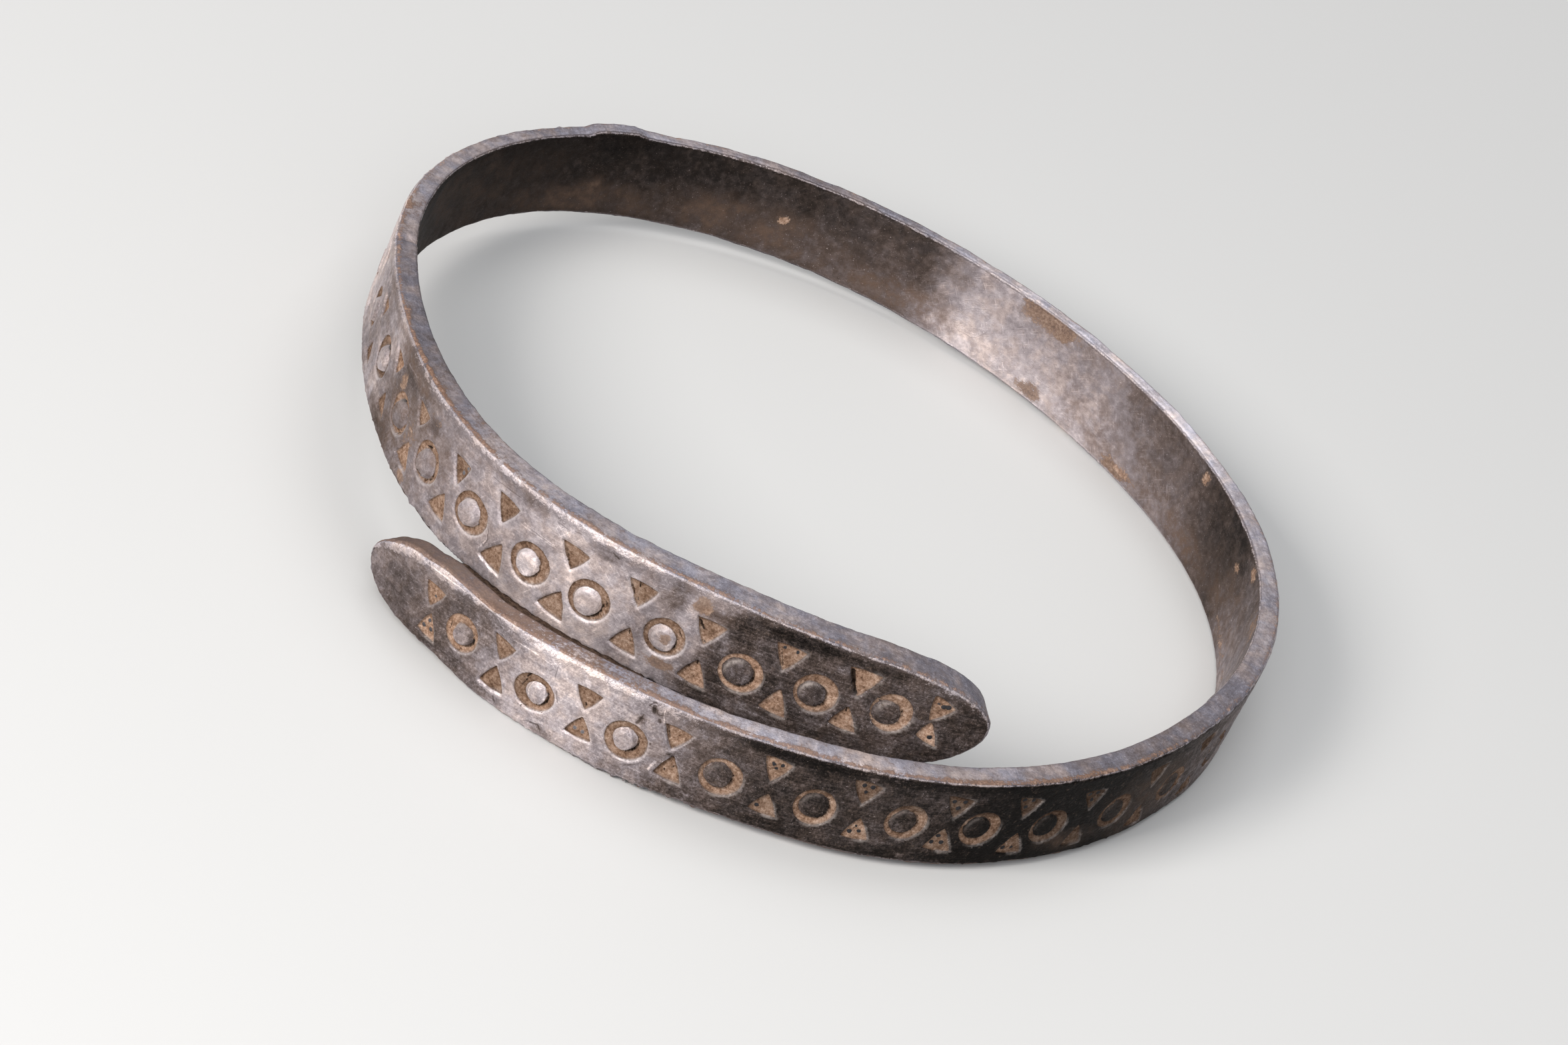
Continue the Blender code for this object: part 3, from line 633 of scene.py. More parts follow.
def triangle_distance(u, v, corners):
    """Distance to a triangle's outline, below zero inside it. The sides bow outward a little."""
    middle = corners.mean(axis=0)
    distance = np.full(len(u), -9.0)
    for start, end in zip(corners, np.roll(corners, -1, axis=0)):
        run = end - start
        length = np.hypot(*run)
        outward = np.array([run[1], -run[0]]) / length
        outward *= np.sign((start - middle) @ outward)
        off_u = u - start[0]
        off_v = v - start[1]
        share = np.clip((off_u * run[0] + off_v * run[1]) / length**2, 0, 1)
        bow = 4 * SIDE_BOW * share * (1 - share)
        distance = np.maximum(distance, off_u * outward[0] + off_v * outward[1] - bow)
    return distance


def near_mark(u, v, place, reach=2.6):
    return np.flatnonzero((np.abs(u - place[0]) < reach) & (np.abs(v - place[1]) < reach))


def refine_outlines(sheet, rings, triangles):
    """Halve the mesh along the outlines of the marks that are seen, where the relief is steep."""
    flat = np.array([vert.co for vert in sheet.verts])
    u, v = flat[:, 0], flat[:, 1]
    away = np.full(len(u), 9.0)
    for mark in rings:
        near = near_mark(u, v, mark)
        foot, top = boss_insets(u[near], v[near], mark)
        to_ring = np.abs(ring_distance(u[near], v[near], mark))
        away[near] = np.minimum(away[near], np.minimum(to_ring, np.abs(foot + top) / 2))
    for mark in triangles:
        near = near_mark(u, v, mark.mean(axis=0))
        away[near] = np.minimum(away[near], np.abs(triangle_distance(u[near], v[near], mark)))
    for along, across, radius in PELLETS:
        near = near_mark(u, v, (along, across))
        away[near] = np.minimum(away[near], np.hypot(u[near] - along, v[near] - across) - radius + 0.12)
    seen = (u < HIDDEN_FROM) | (u > HIDDEN_TO)
    close = (away < FINE_BAND) & seen & (flat[:, 2] > 0)
    sheet.verts.index_update()
    edges = [
        edge for edge in sheet.edges
        if close[edge.verts[0].index] and close[edge.verts[1].index]
        and edge.verts[0].normal.z > 0.99 and edge.verts[1].normal.z > 0.99
    ]
    bmesh.ops.subdivide_edges(sheet, edges=edges, cuts=1, use_grid_fill=True)
    sheet.normal_update()


def settle_on_outlines(u, v, rings, triangles):
    """Slide mesh points that lie close to a punch's outline onto it, so that no outline looks stepped."""
    walls = (WALL_REACH, -WALL_REACH)
    outlines = [(mark.mean(axis=0), triangle_distance, mark, walls) for mark in triangles]
    for ring in rings:
        outlines.append((ring, ring_distance, ring, walls))
        outlines.append((ring, lambda *at: boss_insets(*at)[0], ring, (0.0,)))
        outlines.append((ring, lambda *at: boss_insets(*at)[1], ring, (0.0,)))
    for place, measure, mark, levels in outlines:
        near = near_mark(u, v, place)
        distance = measure(u[near], v[near], mark)
        slope_u = (measure(u[near] + SLOPE_STEP, v[near], mark) - distance) / SLOPE_STEP
        slope_v = (measure(u[near], v[near] + SLOPE_STEP, mark) - distance) / SLOPE_STEP
        for level in levels:
            off = np.where(np.abs(distance - level) < SETTLE_REACH, distance - level, 0.0)
            u[near] -= SETTLE_SHARE * off * slope_u
            v[near] -= SETTLE_SHARE * off * slope_v


def grain(points, size, octaves=3, seed=0.0):
    """Smooth noise of about -1 to 1 at each point, with features of that size in millimetres."""
    shift = Vector((seed * 17.3, seed * 9.1, seed * 5.7))
    return np.array([
        noise.fractal(Vector(point) / size + shift, 0.7, 2.1, octaves) for point in points
    ])


def line_distance(u, v, start_u, start_v, end_u, end_v):
    run = np.array([end_u - start_u, end_v - start_v])
    off = np.stack([u - start_u, v - start_v], axis=1)
    share = np.clip(off @ run / (run @ run), 0, 1)
    return np.hypot(*(off - share[:, None] * run).T)


def hump(distance, middle, width):
    return np.exp(-(((distance - middle) / width) ** 2))


def strike_ring(u, v, crumb, ring, height, marks, near):
    """Sink a ring round its boss with soil in it, a gap painted dark as the boss's shadow, and painted rim
    highlights.
    """
    outer = ring_distance(u, v, ring) - OUTLINE_WOBBLE * crumb
    foot, top = boss_insets(u, v, ring)
    depth = along_strip(SOIL_DEPTHS, ring.u)
    level_across = np.clip(outer / np.minimum(outer + foot, -0.05), 0, 1)
    soil = depth * (0.35 * eased(0.1, 0.5, -foot) - 1) - RING_SOIL_GRAIN * crumb
    soil += SOIL_DOME * 4 * level_across * (1 - level_across)
    climb = np.where(foot > 0, np.clip(foot / np.maximum(foot - top, 0.01), 0, 1), 0)
    climb = eased(0, 1, np.where(top > 0, 1, climb))
    floor = soil + (BOSS_HEIGHT - soil) * climb
    wall = eased(-WALL_REACH, WALL_REACH, outer)
    turned = 0.7 * (u - ring.u) / ring.reach_u - 0.7 * (v - ring.v) / ring.reach_v
    ridge = RIDGE_HEIGHT * eased(-0.6, 0.6, turned)
    height[near] += floor * (1 - wall) + ridge * hump(outer, RING_RIDGE_AWAY, RIDGE_WIDTH)
    inside = np.maximum(outer, foot - 0.04 + 0.03 * crumb)
    marks["outline"][near] = np.minimum(marks["outline"][near], inside)
    # Painted highlights on the ring's lower right rim and on the boss's left bevel.
    by_rim = hump(outer, 0.01, 0.06) * eased(0.1, 0.9, turned)
    to_left = -0.8 * (u - ring.foot_u) + 0.6 * (v - ring.foot_v)
    by_boss = hump(top, -0.1, 0.1) * eased(0.15, 0.8, to_left) * eased(-0.08, 0.0, foot)
    by_boss *= along_strip(BOSS_SHEEN, ring.u)
    marks["painted_rim_highlight"][near] = np.maximum(marks["painted_rim_highlight"][near], np.maximum(by_rim, by_boss))
    marks["topped"][near] += ring.darker * eased(-0.1, 0.05, top)
    # A gap cracked at the boss's right foot: sunk into the soil and painted dark as the boss's shadow.
    to_right = 0.94 * (u - ring.foot_u) - 0.34 * (v - ring.foot_v)
    shrunk = np.clip(to_right / np.maximum(ring.foot - foot, 0.1), 0, 1) * (0.085 + 0.04 * crumb)
    gap = np.abs(foot + 0.06) - shrunk
    height[near] -= 0.6 * depth * (1 - eased(-0.08, 0.03, gap))
    marks["crack_and_shadow"][near] = np.minimum(marks["crack_and_shadow"][near], gap)


def strike_triangle(u, v, crumb, mark, height, marks, near):
    """Sink a triangle with soil in it, and paint a highlight on its right rim."""
    middle_u, middle_v = mark[:, 0].mean(), mark[:, 1].mean()
    distance = triangle_distance(u, v, mark) - OUTLINE_WOBBLE * crumb
    depth = 0.85 * along_strip(SOIL_DEPTHS, mark[0, 0])
    floor = 0.05 * (u - middle_u) - depth - TRIANGLE_SOIL_GRAIN * crumb
    wall = eased(-WALL_REACH, WALL_REACH, distance)
    to_right = u - middle_u - 0.3 * (v - middle_v)
    ridge = RIDGE_HEIGHT * eased(-0.2, 0.5, to_right)
    height[near] += floor * (1 - wall) + ridge * hump(distance, TRIANGLE_RIDGE_AWAY, RIDGE_WIDTH)
    marks["outline"][near] = np.minimum(marks["outline"][near], distance)
    # Painted highlight on the triangle's right rim.
    by_rim = hump(distance, 0.01, 0.05) * eased(0.0, 0.5, to_right)
    marks["painted_rim_highlight"][near] = np.maximum(marks["painted_rim_highlight"][near], by_rim)


def struck_relief(flat, rings, triangles):
    """Height of the struck face at each point, with notes on the soil-filled outlines, bosses and pellets."""
    u, v = flat[:, 0], flat[:, 1]
    count = len(u)
    height = np.zeros(count)
    marks = {name: np.full(count, FAR_OFF) for name in ("outline", "pellet", "crack_and_shadow")}
    marks.update({name: np.zeros(count) for name in ("topped", "painted_rim_highlight")})
    crumb = grain(np.stack([u, v, np.zeros(count)], axis=1), 0.5, 3, 4.0)
    for ring in rings:
        near = near_mark(u, v, ring)
        strike_ring(u[near], v[near], crumb[near], ring, height, marks, near)
    for mark in triangles:
        near = near_mark(u, v, mark.mean(axis=0))
        strike_triangle(u[near], v[near], crumb[near], mark, height, marks, near)
    for along, across, radius in PELLETS:
        near = near_mark(u, v, (along, across), 0.8)
        away = np.hypot(u[near] - along, v[near] - across) - radius + 0.02 * crumb[near]
        height[near] += PELLET_HEIGHT * (1 - eased(-radius, 0.03, away))
        marks["pellet"][near] = np.minimum(marks["pellet"][near], away)
    for *ends, half_width in CRACKS:
        near = near_mark(u, v, ends, 2.0)
        away = line_distance(u[near], v[near], *ends) - half_width + 0.03 * crumb[near]
        height[near] -= CRACK_DEPTH * (1 - eased(-half_width, 0.05, away))
    for *ends, half_width, lifted in GOUGES:
        near = near_mark(u, v, ends, 5.0)
        away = line_distance(u[near], v[near], *ends) + 0.05 * crumb[near]
        height[near] += lifted * hump(away, 0.0, half_width)
    return height, marks


def summed(start, weights, noises):
    for weight, noisy in zip(weights, noises):
        start = start + weight * noisy
    return start


def work_the_strip(coil, sheet):
    """Strike, dent and wear the flat strip, and note on each point what its surface is like."""
    rings = ring_marks()
    triangles = triangle_marks(rings)
    refine_outlines(sheet, rings, triangles)
    flat = np.array([vert.co for vert in sheet.verts])
    normals = np.array([vert.normal for vert in sheet.verts])
    face = eased(0.75, 0.97, normals[:, 2])
    back = eased(0.75, 0.97, -normals[:, 2])
    edge = 1 - face - back
    struck = np.flatnonzero(face > 0.99)
    settled_u, settled_v = flat[struck, 0], flat[struck, 1]
    settle_on_outlines(settled_u, settled_v, rings, triangles)
    flat[struck, 0] = settled_u
    flat[struck, 1] = settled_v
    u, v = flat[:, 0], flat[:, 1]
    height, marks = struck_relief(flat, rings, triangles)
    marks["painted_rim_highlight"] *= face
    marks["crack_and_shadow"] += 1 - face
    broad = grain(flat, 6.0, 2, 1.0)
    middling = grain(flat, 1.6, 3, 2.0)
    fine = grain(flat, 0.45, 2, 3.0)
    teeth = grain(flat * (1.0, 0.35, 0.35), 0.3, 2, 5.0)
    waves = (broad, middling, fine)
    torn = eased(10, 12, u) * (1 - 0.75 * eased(26, 30, u)) * (1 - eased(30, 38, u)) * (v < -2)
    outer_corner = 4 * face * edge
    inner_corner = 4 * back * edge
    near_top = np.maximum(v - 2.2, 0) * eased(3, 5, u) * (1 - eased(24, 30, u))
    lift = face * (summed(height, FACE_UNEVEN, waves) - TOP_SLOPE * near_top**2)
    lift += back * summed(0, BACK_UNEVEN, waves)
    lift += edge * summed(0, EDGE_UNEVEN, waves)
    lift -= outer_corner * summed(OUTER_CORNER_WEAR, OUTER_CORNER_UNEVEN, (middling, fine, teeth))
    lift -= inner_corner * summed(INNER_CORNER_WEAR, INNER_CORNER_UNEVEN, (middling,))
    half = coil.read(coil.width, u) / 2
    thick = coil.read(coil.thickness, u)
    by_edge = eased(0.6, 1.0, np.abs(v) / half)
    stray = np.where(v > 0, along_strip(UPPER_EDGE, u), -along_strip(LOWER_EDGE, u)) * by_edge
    worked = flat + normals * lift[:, None]
    on_edge = eased(0.35, 0.9, np.sqrt(np.clip(edge, 0, 1)))
    worked[:, 1] += stray - TORN_DEPTH * torn * np.maximum(teeth, -0.1) * on_edge
    return worked, {"face": face, "back": back, "edge": edge, "half": half, "thick": thick, **marks}


def smeared(u, v, ragged, smears):
    amount = np.zeros(len(u))
    for along, across, reach_u, reach_v, thick in smears:
        away = np.hypot((u - along) / reach_u, (v - across) / reach_v) + 0.35 * ragged
        amount = np.maximum(amount, thick * (1 - eased(0.3, 1.5, away)))
    return amount


def surface_notes(flat, notes):
    """Tarnish, soil, and corners bright with wear and painted highlight, from where each point lies on the
    strip.
    """
    u, v, z = flat.T
    face, back, edge = notes["face"], notes["back"], notes["edge"]
    blotch = grain(flat, 2.2, 3, 6.0)
    outside = along_strip(TARNISH_OUTSIDE, u + 0.9 * blotch - 0.35 * v)
    for along, across, reach_u, reach_v, amount in STAINS_AND_PAINTED_LIGHT:
        away = np.hypot((u - along) / reach_u, (v - across) / reach_v) + 0.25 * blotch
        outside += amount * (1 - eased(0.3, 1.3, away))
    inside = along_strip(TARNISH_INSIDE, u + 1.5 * blotch) + 0.14 * np.clip(v / 3, -1, 1)
    rim = along_strip(TARNISH_EDGES, u + 2.0 * blotch) + 0.06 * blotch
    tarnish = face * outside + back * inside + edge * rim
    tarnish += notes["topped"] * face

    # The face's upper corner and the top edge's outer part are bright with wear and a painted highlight, more
    # on the upper corners than the lower; the top edge's outer part is also soiled.
    by_a = np.clip((TONGUE_A - u) / TONGUE_A, 0, 1)
    by_b = np.clip((u - STRIP_LENGTH + TONGUE_B) / TONGUE_B, 0, 1)
    local_half = notes["half"] * np.sqrt(1 - by_a**2) * np.sqrt(1 - by_b**2)
    below_rim = local_half + TONGUE_B_OFFSET * by_b**2 - v
    corner = np.clip(4 * edge * (face + back), 0, 1)
    # Painted sheen, with wear, on the face just below its upper edge.
    beside = face * (1 - eased(0.25, 1.0, below_rim + 0.3 * blotch)) * along_strip(RIM_WEAR_AND_SHEEN, u)
    outer_part = eased(-0.1, 0.3, z - notes["thick"] / 2 + 0.55 + 0.2 * blotch)
    corner = np.maximum(corner * np.where(v > 0, 1.0, 0.6), 0.8 * beside)
    corner = np.maximum(corner, 0.45 * edge * outer_part * (v > 0))
    rim_soil = along_strip(EDGE_SOIL, u + blotch) + along_strip(OUTER_EDGE_SOIL, u + blotch) * outer_part
    soil = face * smeared(u, v, blotch, OUTER_SMEARS) + back * smeared(u, v, blotch, INNER_SMEARS)
    soil += eased(0.3, 0.9, edge) * rim_soil

    coarse = face * along_strip(COARSENESS, u) + 0.65 * edge + 0.15 * back
    contrast = (1 + 0.7 * eased(0.4, 1.3, tarnish)) * (face + 0.85 * edge + 0.85 * back)
    film = face * smeared(u, v, blotch, OUTER_FILMS) + back * smeared(u, v, blotch, INNER_FILMS)
    upper = eased(0.4, 1.1, v)
    tone = (1 - upper) * along_strip(SOIL_TONES, u) + upper * along_strip(UPPER_SOIL_TONES, u)
    in_mark = face * (1 - eased(-0.04, 0.02, notes["outline"]))
    tone = 1 + (tone - 1) * in_mark + 0.5 * edge * outer_part
    tone += edge * along_strip(EDGE_TONES, u)
    return {
        "tarnish": tarnish, "soil": soil, "corner": corner, "coarse": coarse, "tone": tone,
        "contrast": contrast, "film": film,
    }


def move_points(shape, places):
    for vert, place in zip(shape.verts, places):
        vert.co = place


def finished(name, shape):
    """Turn a bmesh into an object in the scene."""
    mesh = bpy.data.meshes.new(name)
    shape.to_mesh(mesh)
    shape.free()
    made = bpy.data.objects.new(name, mesh)
    bpy.context.scene.collection.objects.link(made)
    return made


def build_bracelet(coil):
    sheet = closed_sheet(coil)
    worked, notes = work_the_strip(coil, sheet)
    notes.update(surface_notes(worked, notes))
    move_points(sheet, lie_down(coil.bend(worked)) * MM)
    bracelet = finished("bracelet_silver", sheet)
    mesh = bracelet.data
    strip_place = mesh.attributes.new("strip_place", "FLOAT_VECTOR", "POINT")
    strip_place.data.foreach_set("vector", worked.astype(np.float32).ravel())
    for name in (
        "tarnish", "soil", "corner", "coarse", "tone", "contrast", "film", "face", "edge", "outline",
        "painted_rim_highlight", "pellet", "crack_and_shadow",
    ):
        attribute = mesh.attributes.new(name, "FLOAT", "POINT")
        attribute.data.foreach_set("value", notes[name].astype(np.float32))
    mesh.shade_smooth()
    return bracelet


def build_packed_soil_and_shade(coil):
    """Dry soil, painted dark as shade, packed where the runs lie close, from run A's back to run B's face."""
    clod = bmesh.new()
    bmesh.ops.create_grid(clod, x_segments=160, y_segments=24, size=1)
    grid = np.array([vert.co for vert in clod.verts])
    share = (grid[:, 0] + 1) / 2
    turn = math.pi * (grid[:, 1] + 1)
    taper = np.clip(np.sin(math.pi * share) * 3, 0, 1)
    squared = taper / np.maximum(np.abs(np.cos(turn)), np.abs(np.sin(turn))) ** 0.8
    to_b = 0.5 + 0.5 * squared * np.cos(turn)
    upward = 0.5 + 0.5 * squared * np.sin(turn)
    u_a = PACKED_FROM + (PACKED_TO - PACKED_FROM) * share
    u_b = PACKED_OPPOSITE + PACKED_STRETCH * u_a
    crumb = 0.12 * grain(np.stack([u_a, 3 * to_b, 3 * upward], axis=1), 0.8, 3, 8.0)
    v_a = coil.read(coil.width, u_a) / 2 - PACKED_LOW_A + PACKED_HIGH_A * upward + crumb
    v_b = -coil.read(coil.width, u_b) / 2 + PACKED_LOW_B + PACKED_HIGH_B * upward + crumb
    by_a = coil.bend(np.stack([u_a, v_a, PACKED_BITE - coil.read(coil.thickness, u_a) / 2], axis=1))
    by_b = coil.bend(np.stack([u_b, v_b, coil.read(coil.thickness, u_b) / 2 - PACKED_BITE], axis=1))
    move_points(clod, lie_down(by_a + (by_b - by_a) * to_b[:, None]) * MM)
    bmesh.ops.remove_doubles(clod, verts=clod.verts[:], dist=0.000001)
    bmesh.ops.recalc_face_normals(clod, faces=clod.faces[:])
    soil = finished("packed_soil_and_shade", clod)
    soil.data.shade_smooth()
    return soil


class Finish:
    """A material's shader nodes, with short ways to make those that are used most."""

    def __init__(self, name):
        self.material = bpy.data.materials.new(name)
        self.material.use_nodes = True
        self.tree = self.material.node_tree
        self.shader = self.tree.nodes["Principled BSDF"]

    def set(self, **inputs):
        """Set the shader's inputs, named with _ for a space, to values or join them to sockets."""
        for name, value in inputs.items():
            self.fill(self.shader.inputs[name.replace("_", " ")], value)

    def fill(self, socket, value):
        if isinstance(value, bpy.types.NodeSocket):
            self.tree.links.new(value, socket)
        else:
            socket.default_value = value

    def node(self, kind, inputs=None, **settings):
        made = self.tree.nodes.new(kind)
        for name, value in settings.items():
            setattr(made, name, value)
        for name, value in (inputs or {}).items():
            self.fill(made.inputs[name], value)
        return made

    def note(self, name):
        return self.node("ShaderNodeAttribute", attribute_name=name).outputs["Fac"]

    def maths(self, operation, first, second):
        return self.node("ShaderNodeMath", {0: first, 1: second}, operation=operation).outputs[0]

    def plus(self, first, second):
        return self.maths("ADD", first, second)

    def minus(self, first, second):
        return self.maths("SUBTRACT", first, second)

    def times(self, first, second):
        return self.maths("MULTIPLY", first, second)

    def least(self, first, second):
        return self.maths("MINIMUM", first, second)

    def most(self, first, second):
        return self.maths("MAXIMUM", first, second)

    def vectors(self, operation, first, second):
        place = "Scale" if operation == "SCALE" else 1
        made = self.node("ShaderNodeVectorMath", {0: first, place: second}, operation=operation)
        return made.outputs["Value" if operation in ("DOT_PRODUCT", "DISTANCE") else "Vector"]

    def rise(self, value, low, high, bottom=0.0, top=1.0):
        """From bottom to top in a smooth step, as the value goes from low to high."""
        inputs = {"Value": value, "From Min": low, "From Max": high, "To Min": bottom, "To Max": top}
        return self.node("ShaderNodeMapRange", inputs, interpolation_type="SMOOTHSTEP").outputs[0]

    def mixed(self, share, first, second, blend="MIX"):
        inputs = {0: share, 6: first, 7: second}
        return self.node("ShaderNodeMix", inputs, data_type="RGBA", blend_type=blend).outputs[2]

    def multiplied(self, first, second, share=1.0):
        return self.mixed(share, first, second, "MULTIPLY")

    def grey(self, value):
        return self.node("ShaderNodeCombineColor", {0: value, 1: value, 2: value}).outputs[0]

    def coloured(self, value, stops):
        """A colour ramp through (place, red, green, blue) stops."""
        made = self.node("ShaderNodeValToRGB", {"Fac": value})
        elements = made.color_ramp.elements
        while len(elements) < len(stops):
            elements.new(0.5)
        for element, (place, *colour) in zip(elements, stops):
            element.position = place
            element.color = (*colour, 1)
        return made.outputs["Color"]

    def speckle(self, place, scale, detail=3.0, roughness=0.6):
        inputs = {"Vector": place, "Scale": scale, "Detail": detail, "Roughness": roughness}
        return self.node("ShaderNodeTexNoise", inputs).outputs["Fac"]

    def streaks(self, place, length, width, turn):
        """Noise drawn out into streaks of that length and width in millimetres, turned by that angle."""
        inputs = {"Vector": place, "Scale": (length, width, width), "Rotation": (0, 0, math.radians(turn))}
        drawn = self.node("ShaderNodeMapping", inputs, vector_type="TEXTURE").outputs[0]
        return self.speckle(drawn, 1.0, 2.0, 0.6)

    def weighed(self, start, *parts):
        """A value with each noise added to it, as far as it strays from its middle, times its weight."""
        total = start
        for part, weight in parts:
            total = self.plus(total, self.times(self.minus(part, 0.5), weight))
        return total

    def bump(self, height, distance, strength, normal=None):
        inputs = {"Height": height, "Distance": distance, "Strength": strength}
        if normal is not None:
            inputs["Normal"] = normal
        return self.node("ShaderNodeBump", inputs).outputs[0]

    def from_lines(self, place, lines):
        """Distance in millimetres from the nearest of the lines, less its half width, on the flat strip."""
        nearest = None
        for start_u, start_v, end_u, end_v, half_width in lines:
            run = Vector((end_u - start_u, end_v - start_v, 0))
            off = self.vectors("SUBTRACT", place, (start_u, start_v, 0))
            share = self.vectors("DOT_PRODUCT", off, run / run.length_squared)
            share = self.least(self.most(share, 0.0), 1.0)
            foot = self.vectors("SCALE", run, share)
            away = self.minus(self.vectors("DISTANCE", off, foot), half_width)
            nearest = away if nearest is None else self.least(nearest, away)
        return nearest


def read_strip(silver):
    """Distances from the fine lines, the notes on the mesh, and the noises over the strip.

    The lines have to be the first nodes: after the others, the shader is too deep for the renderer.
    """
    strip = silver.node("ShaderNodeAttribute", attribute_name="strip_place").outputs["Vector"]
    wobble = silver.node("ShaderNodeTexNoise", {"Vector": strip, "Scale": 3.0, "Detail": 3.0})
    wobble = silver.vectors("SUBTRACT", wobble.outputs["Color"], (0.5, 0.5, 0.5))
    wobble = silver.vectors("MULTIPLY", wobble, (0.14, 0.14, 0.0))
    flat = silver.vectors("MULTIPLY", silver.vectors("ADD", strip, wobble), (1.0, 1.0, 0.0))
    away = [silver.from_lines(flat, lines) for lines in (DARK_LINES, BRIGHT_LINES, CRACKS)]
    face, edge, corner = silver.note("face"), silver.note("edge"), silver.note("corner")
    off_face = silver.minus(1.0, face)
    cut, painted_highlight_line, cracked = [silver.plus(distance, off_face) for distance in away]
    outline, pellet, crack_and_shadow = silver.note("outline"), silver.note("pellet"), silver.note("crack_and_shadow")
    cloud = silver.speckle(strip, 0.4, 3.0)
    mottle = silver.speckle(strip, 1.5, 4.0, 0.65)
    grit = silver.speckle(strip, 5.0, 4.0, 0.75)
    dust = silver.speckle(strip, 9.0, 2.0, 0.7)
    drawn = silver.streaks(strip, 2.2, 0.13, 2.0)
    rubbed = silver.streaks(strip, 1.2, 0.1, 52.0)
    crossed = silver.streaks(strip, 1.6, 0.09, -38.0)
    return SimpleNamespace(
        strip=strip, cut=cut, painted_highlight_line=painted_highlight_line, cracked=cracked, face=face, edge=edge, corner=corner,
        outline=outline, pellet=pellet, crack_and_shadow=crack_and_shadow, cloud=cloud, mottle=mottle, grit=grit, dust=dust,
        drawn=drawn, rubbed=rubbed, crossed=crossed,
    )


def tarnish_on(silver, at):
    """How tarnished: patchy, lighter on scratches, corners and flecks, with painted highlights and shade."""
    times, rise, weighed, note = silver.times, silver.rise, silver.weighed, silver.note
    scratch = silver.most(rise(at.rubbed, 0.6, 0.7), rise(at.crossed, 0.6, 0.7))
    scratch = times(scratch, rise(at.cloud, 0.42, 0.6))
    # Painted highlight on the rims just outside the marks.
    crest_highlight = times(rise(at.outline, -0.02, 0.04), rise(at.outline, 0.06, 0.2, 1.0, 0.0))
    crest_highlight = times(crest_highlight, rise(at.mottle, 0.3, 0.55, 0.3, 1.0))
    crest_highlight = times(crest_highlight, at.face)
    # Corners bright with wear and painted highlight, broken up by noise.
    worn_and_highlit = rise(weighed(at.corner, (at.mottle, 2.4), (at.grit, 2.2), (at.drawn, 0.8)), 0.5, 1.0)
    # Painted highlights along the bright lines.
    painted_highlight_line = rise(weighed(at.painted_highlight_line, (at.grit, 0.12)), -0.03, 0.04, 1.0, 0.0)
    at.crack_and_shadow = silver.least(at.crack_and_shadow, at.cracked)
    at.stud = times(rise(at.pellet, -0.03, 0.03, 1.0, 0.0), at.face)
    fleck = times(rise(at.dust, 0.65, 0.73), rise(note("tarnish"), 0.2, 1.0))
    rough_grit = weighed(0.5, (at.grit, rise(note("tarnish"), 0.3, 1.0, 0.9, 1.1)))
    drawn_share = rise(note("tarnish"), 0.5, 1.2, 0.3, 0.5)
    fine_texture = weighed(0.5, (rough_grit, 1.0), (at.drawn, drawn_share))
    fine_texture = weighed(0.5, (fine_texture, note("coarse")))
    texture = weighed(0.5, (at.cloud, 0.35), (at.mottle, 0.7), (fine_texture, 1.0))
    tarnish = weighed(note("tarnish"), (texture, note("contrast")))
    # Painted shade along the dark lines.
    tarnish = silver.plus(tarnish, rise(weighed(at.cut, (at.grit, 0.1)), -0.06, 0.07, 0.45, 0.0))
    worn_and_highlit = times(worn_and_highlit, rise(note("tarnish"), 0.4, 1.2, 0.38, 0.95))
    for cleaned, amount in (
        (scratch, 0.16), (crest_highlight, 0.08), (at.corner, -0.12), (worn_and_highlit, 1.0), (fleck, 0.6), (painted_highlight_line, 0.22),
    ):
        tarnish = silver.minus(tarnish, times(cleaned, amount))
    return tarnish


def metal_under(silver, at, tarnish):
    """The metal's colour: tarnished silver, brown dust, pellets, thin brown films, edges painted blue as a
    reflection.
    """
    times, rise, note = silver.times, silver.rise, silver.note
    metal = silver.coloured(times(tarnish, 0.6), SILVER_TO_TARNISH)
    hue = silver.mixed(rise(silver.speckle(at.strip, 0.7, 3.0), 0.38, 0.62), WARM, COOL)
    metal = silver.multiplied(metal, hue)
    dusty = times(rise(silver.speckle(at.strip, 2.2, 5.0, 0.8), 0.56, 0.72), at.face)
    dusty = times(dusty, rise(note("tarnish"), 0.5, 1.0, 0.0, 0.5))
    metal = silver.mixed(dusty, metal, DUST_BROWN)
    # Painted reflection: the edges tinted blue, in patches.
    metal = silver.multiplied(metal, EDGE_REFLECTION_BLUE, times(at.edge, rise(at.cloud, 0.35, 0.6)))
    pellet_tone = silver.mixed(rise(note("tarnish"), 0.4, 1.1), PALE_PELLET, DARK_PELLET)
    metal = silver.mixed(at.stud, metal, pellet_tone)
    film = times(rise(at.mottle, 0.3, 0.65, 0.3, 1.0), rise(at.cloud, 0.4, 0.6, 0.3, 1.0))
    return silver.mixed(times(note("film"), film), metal, FILM_BROWN)


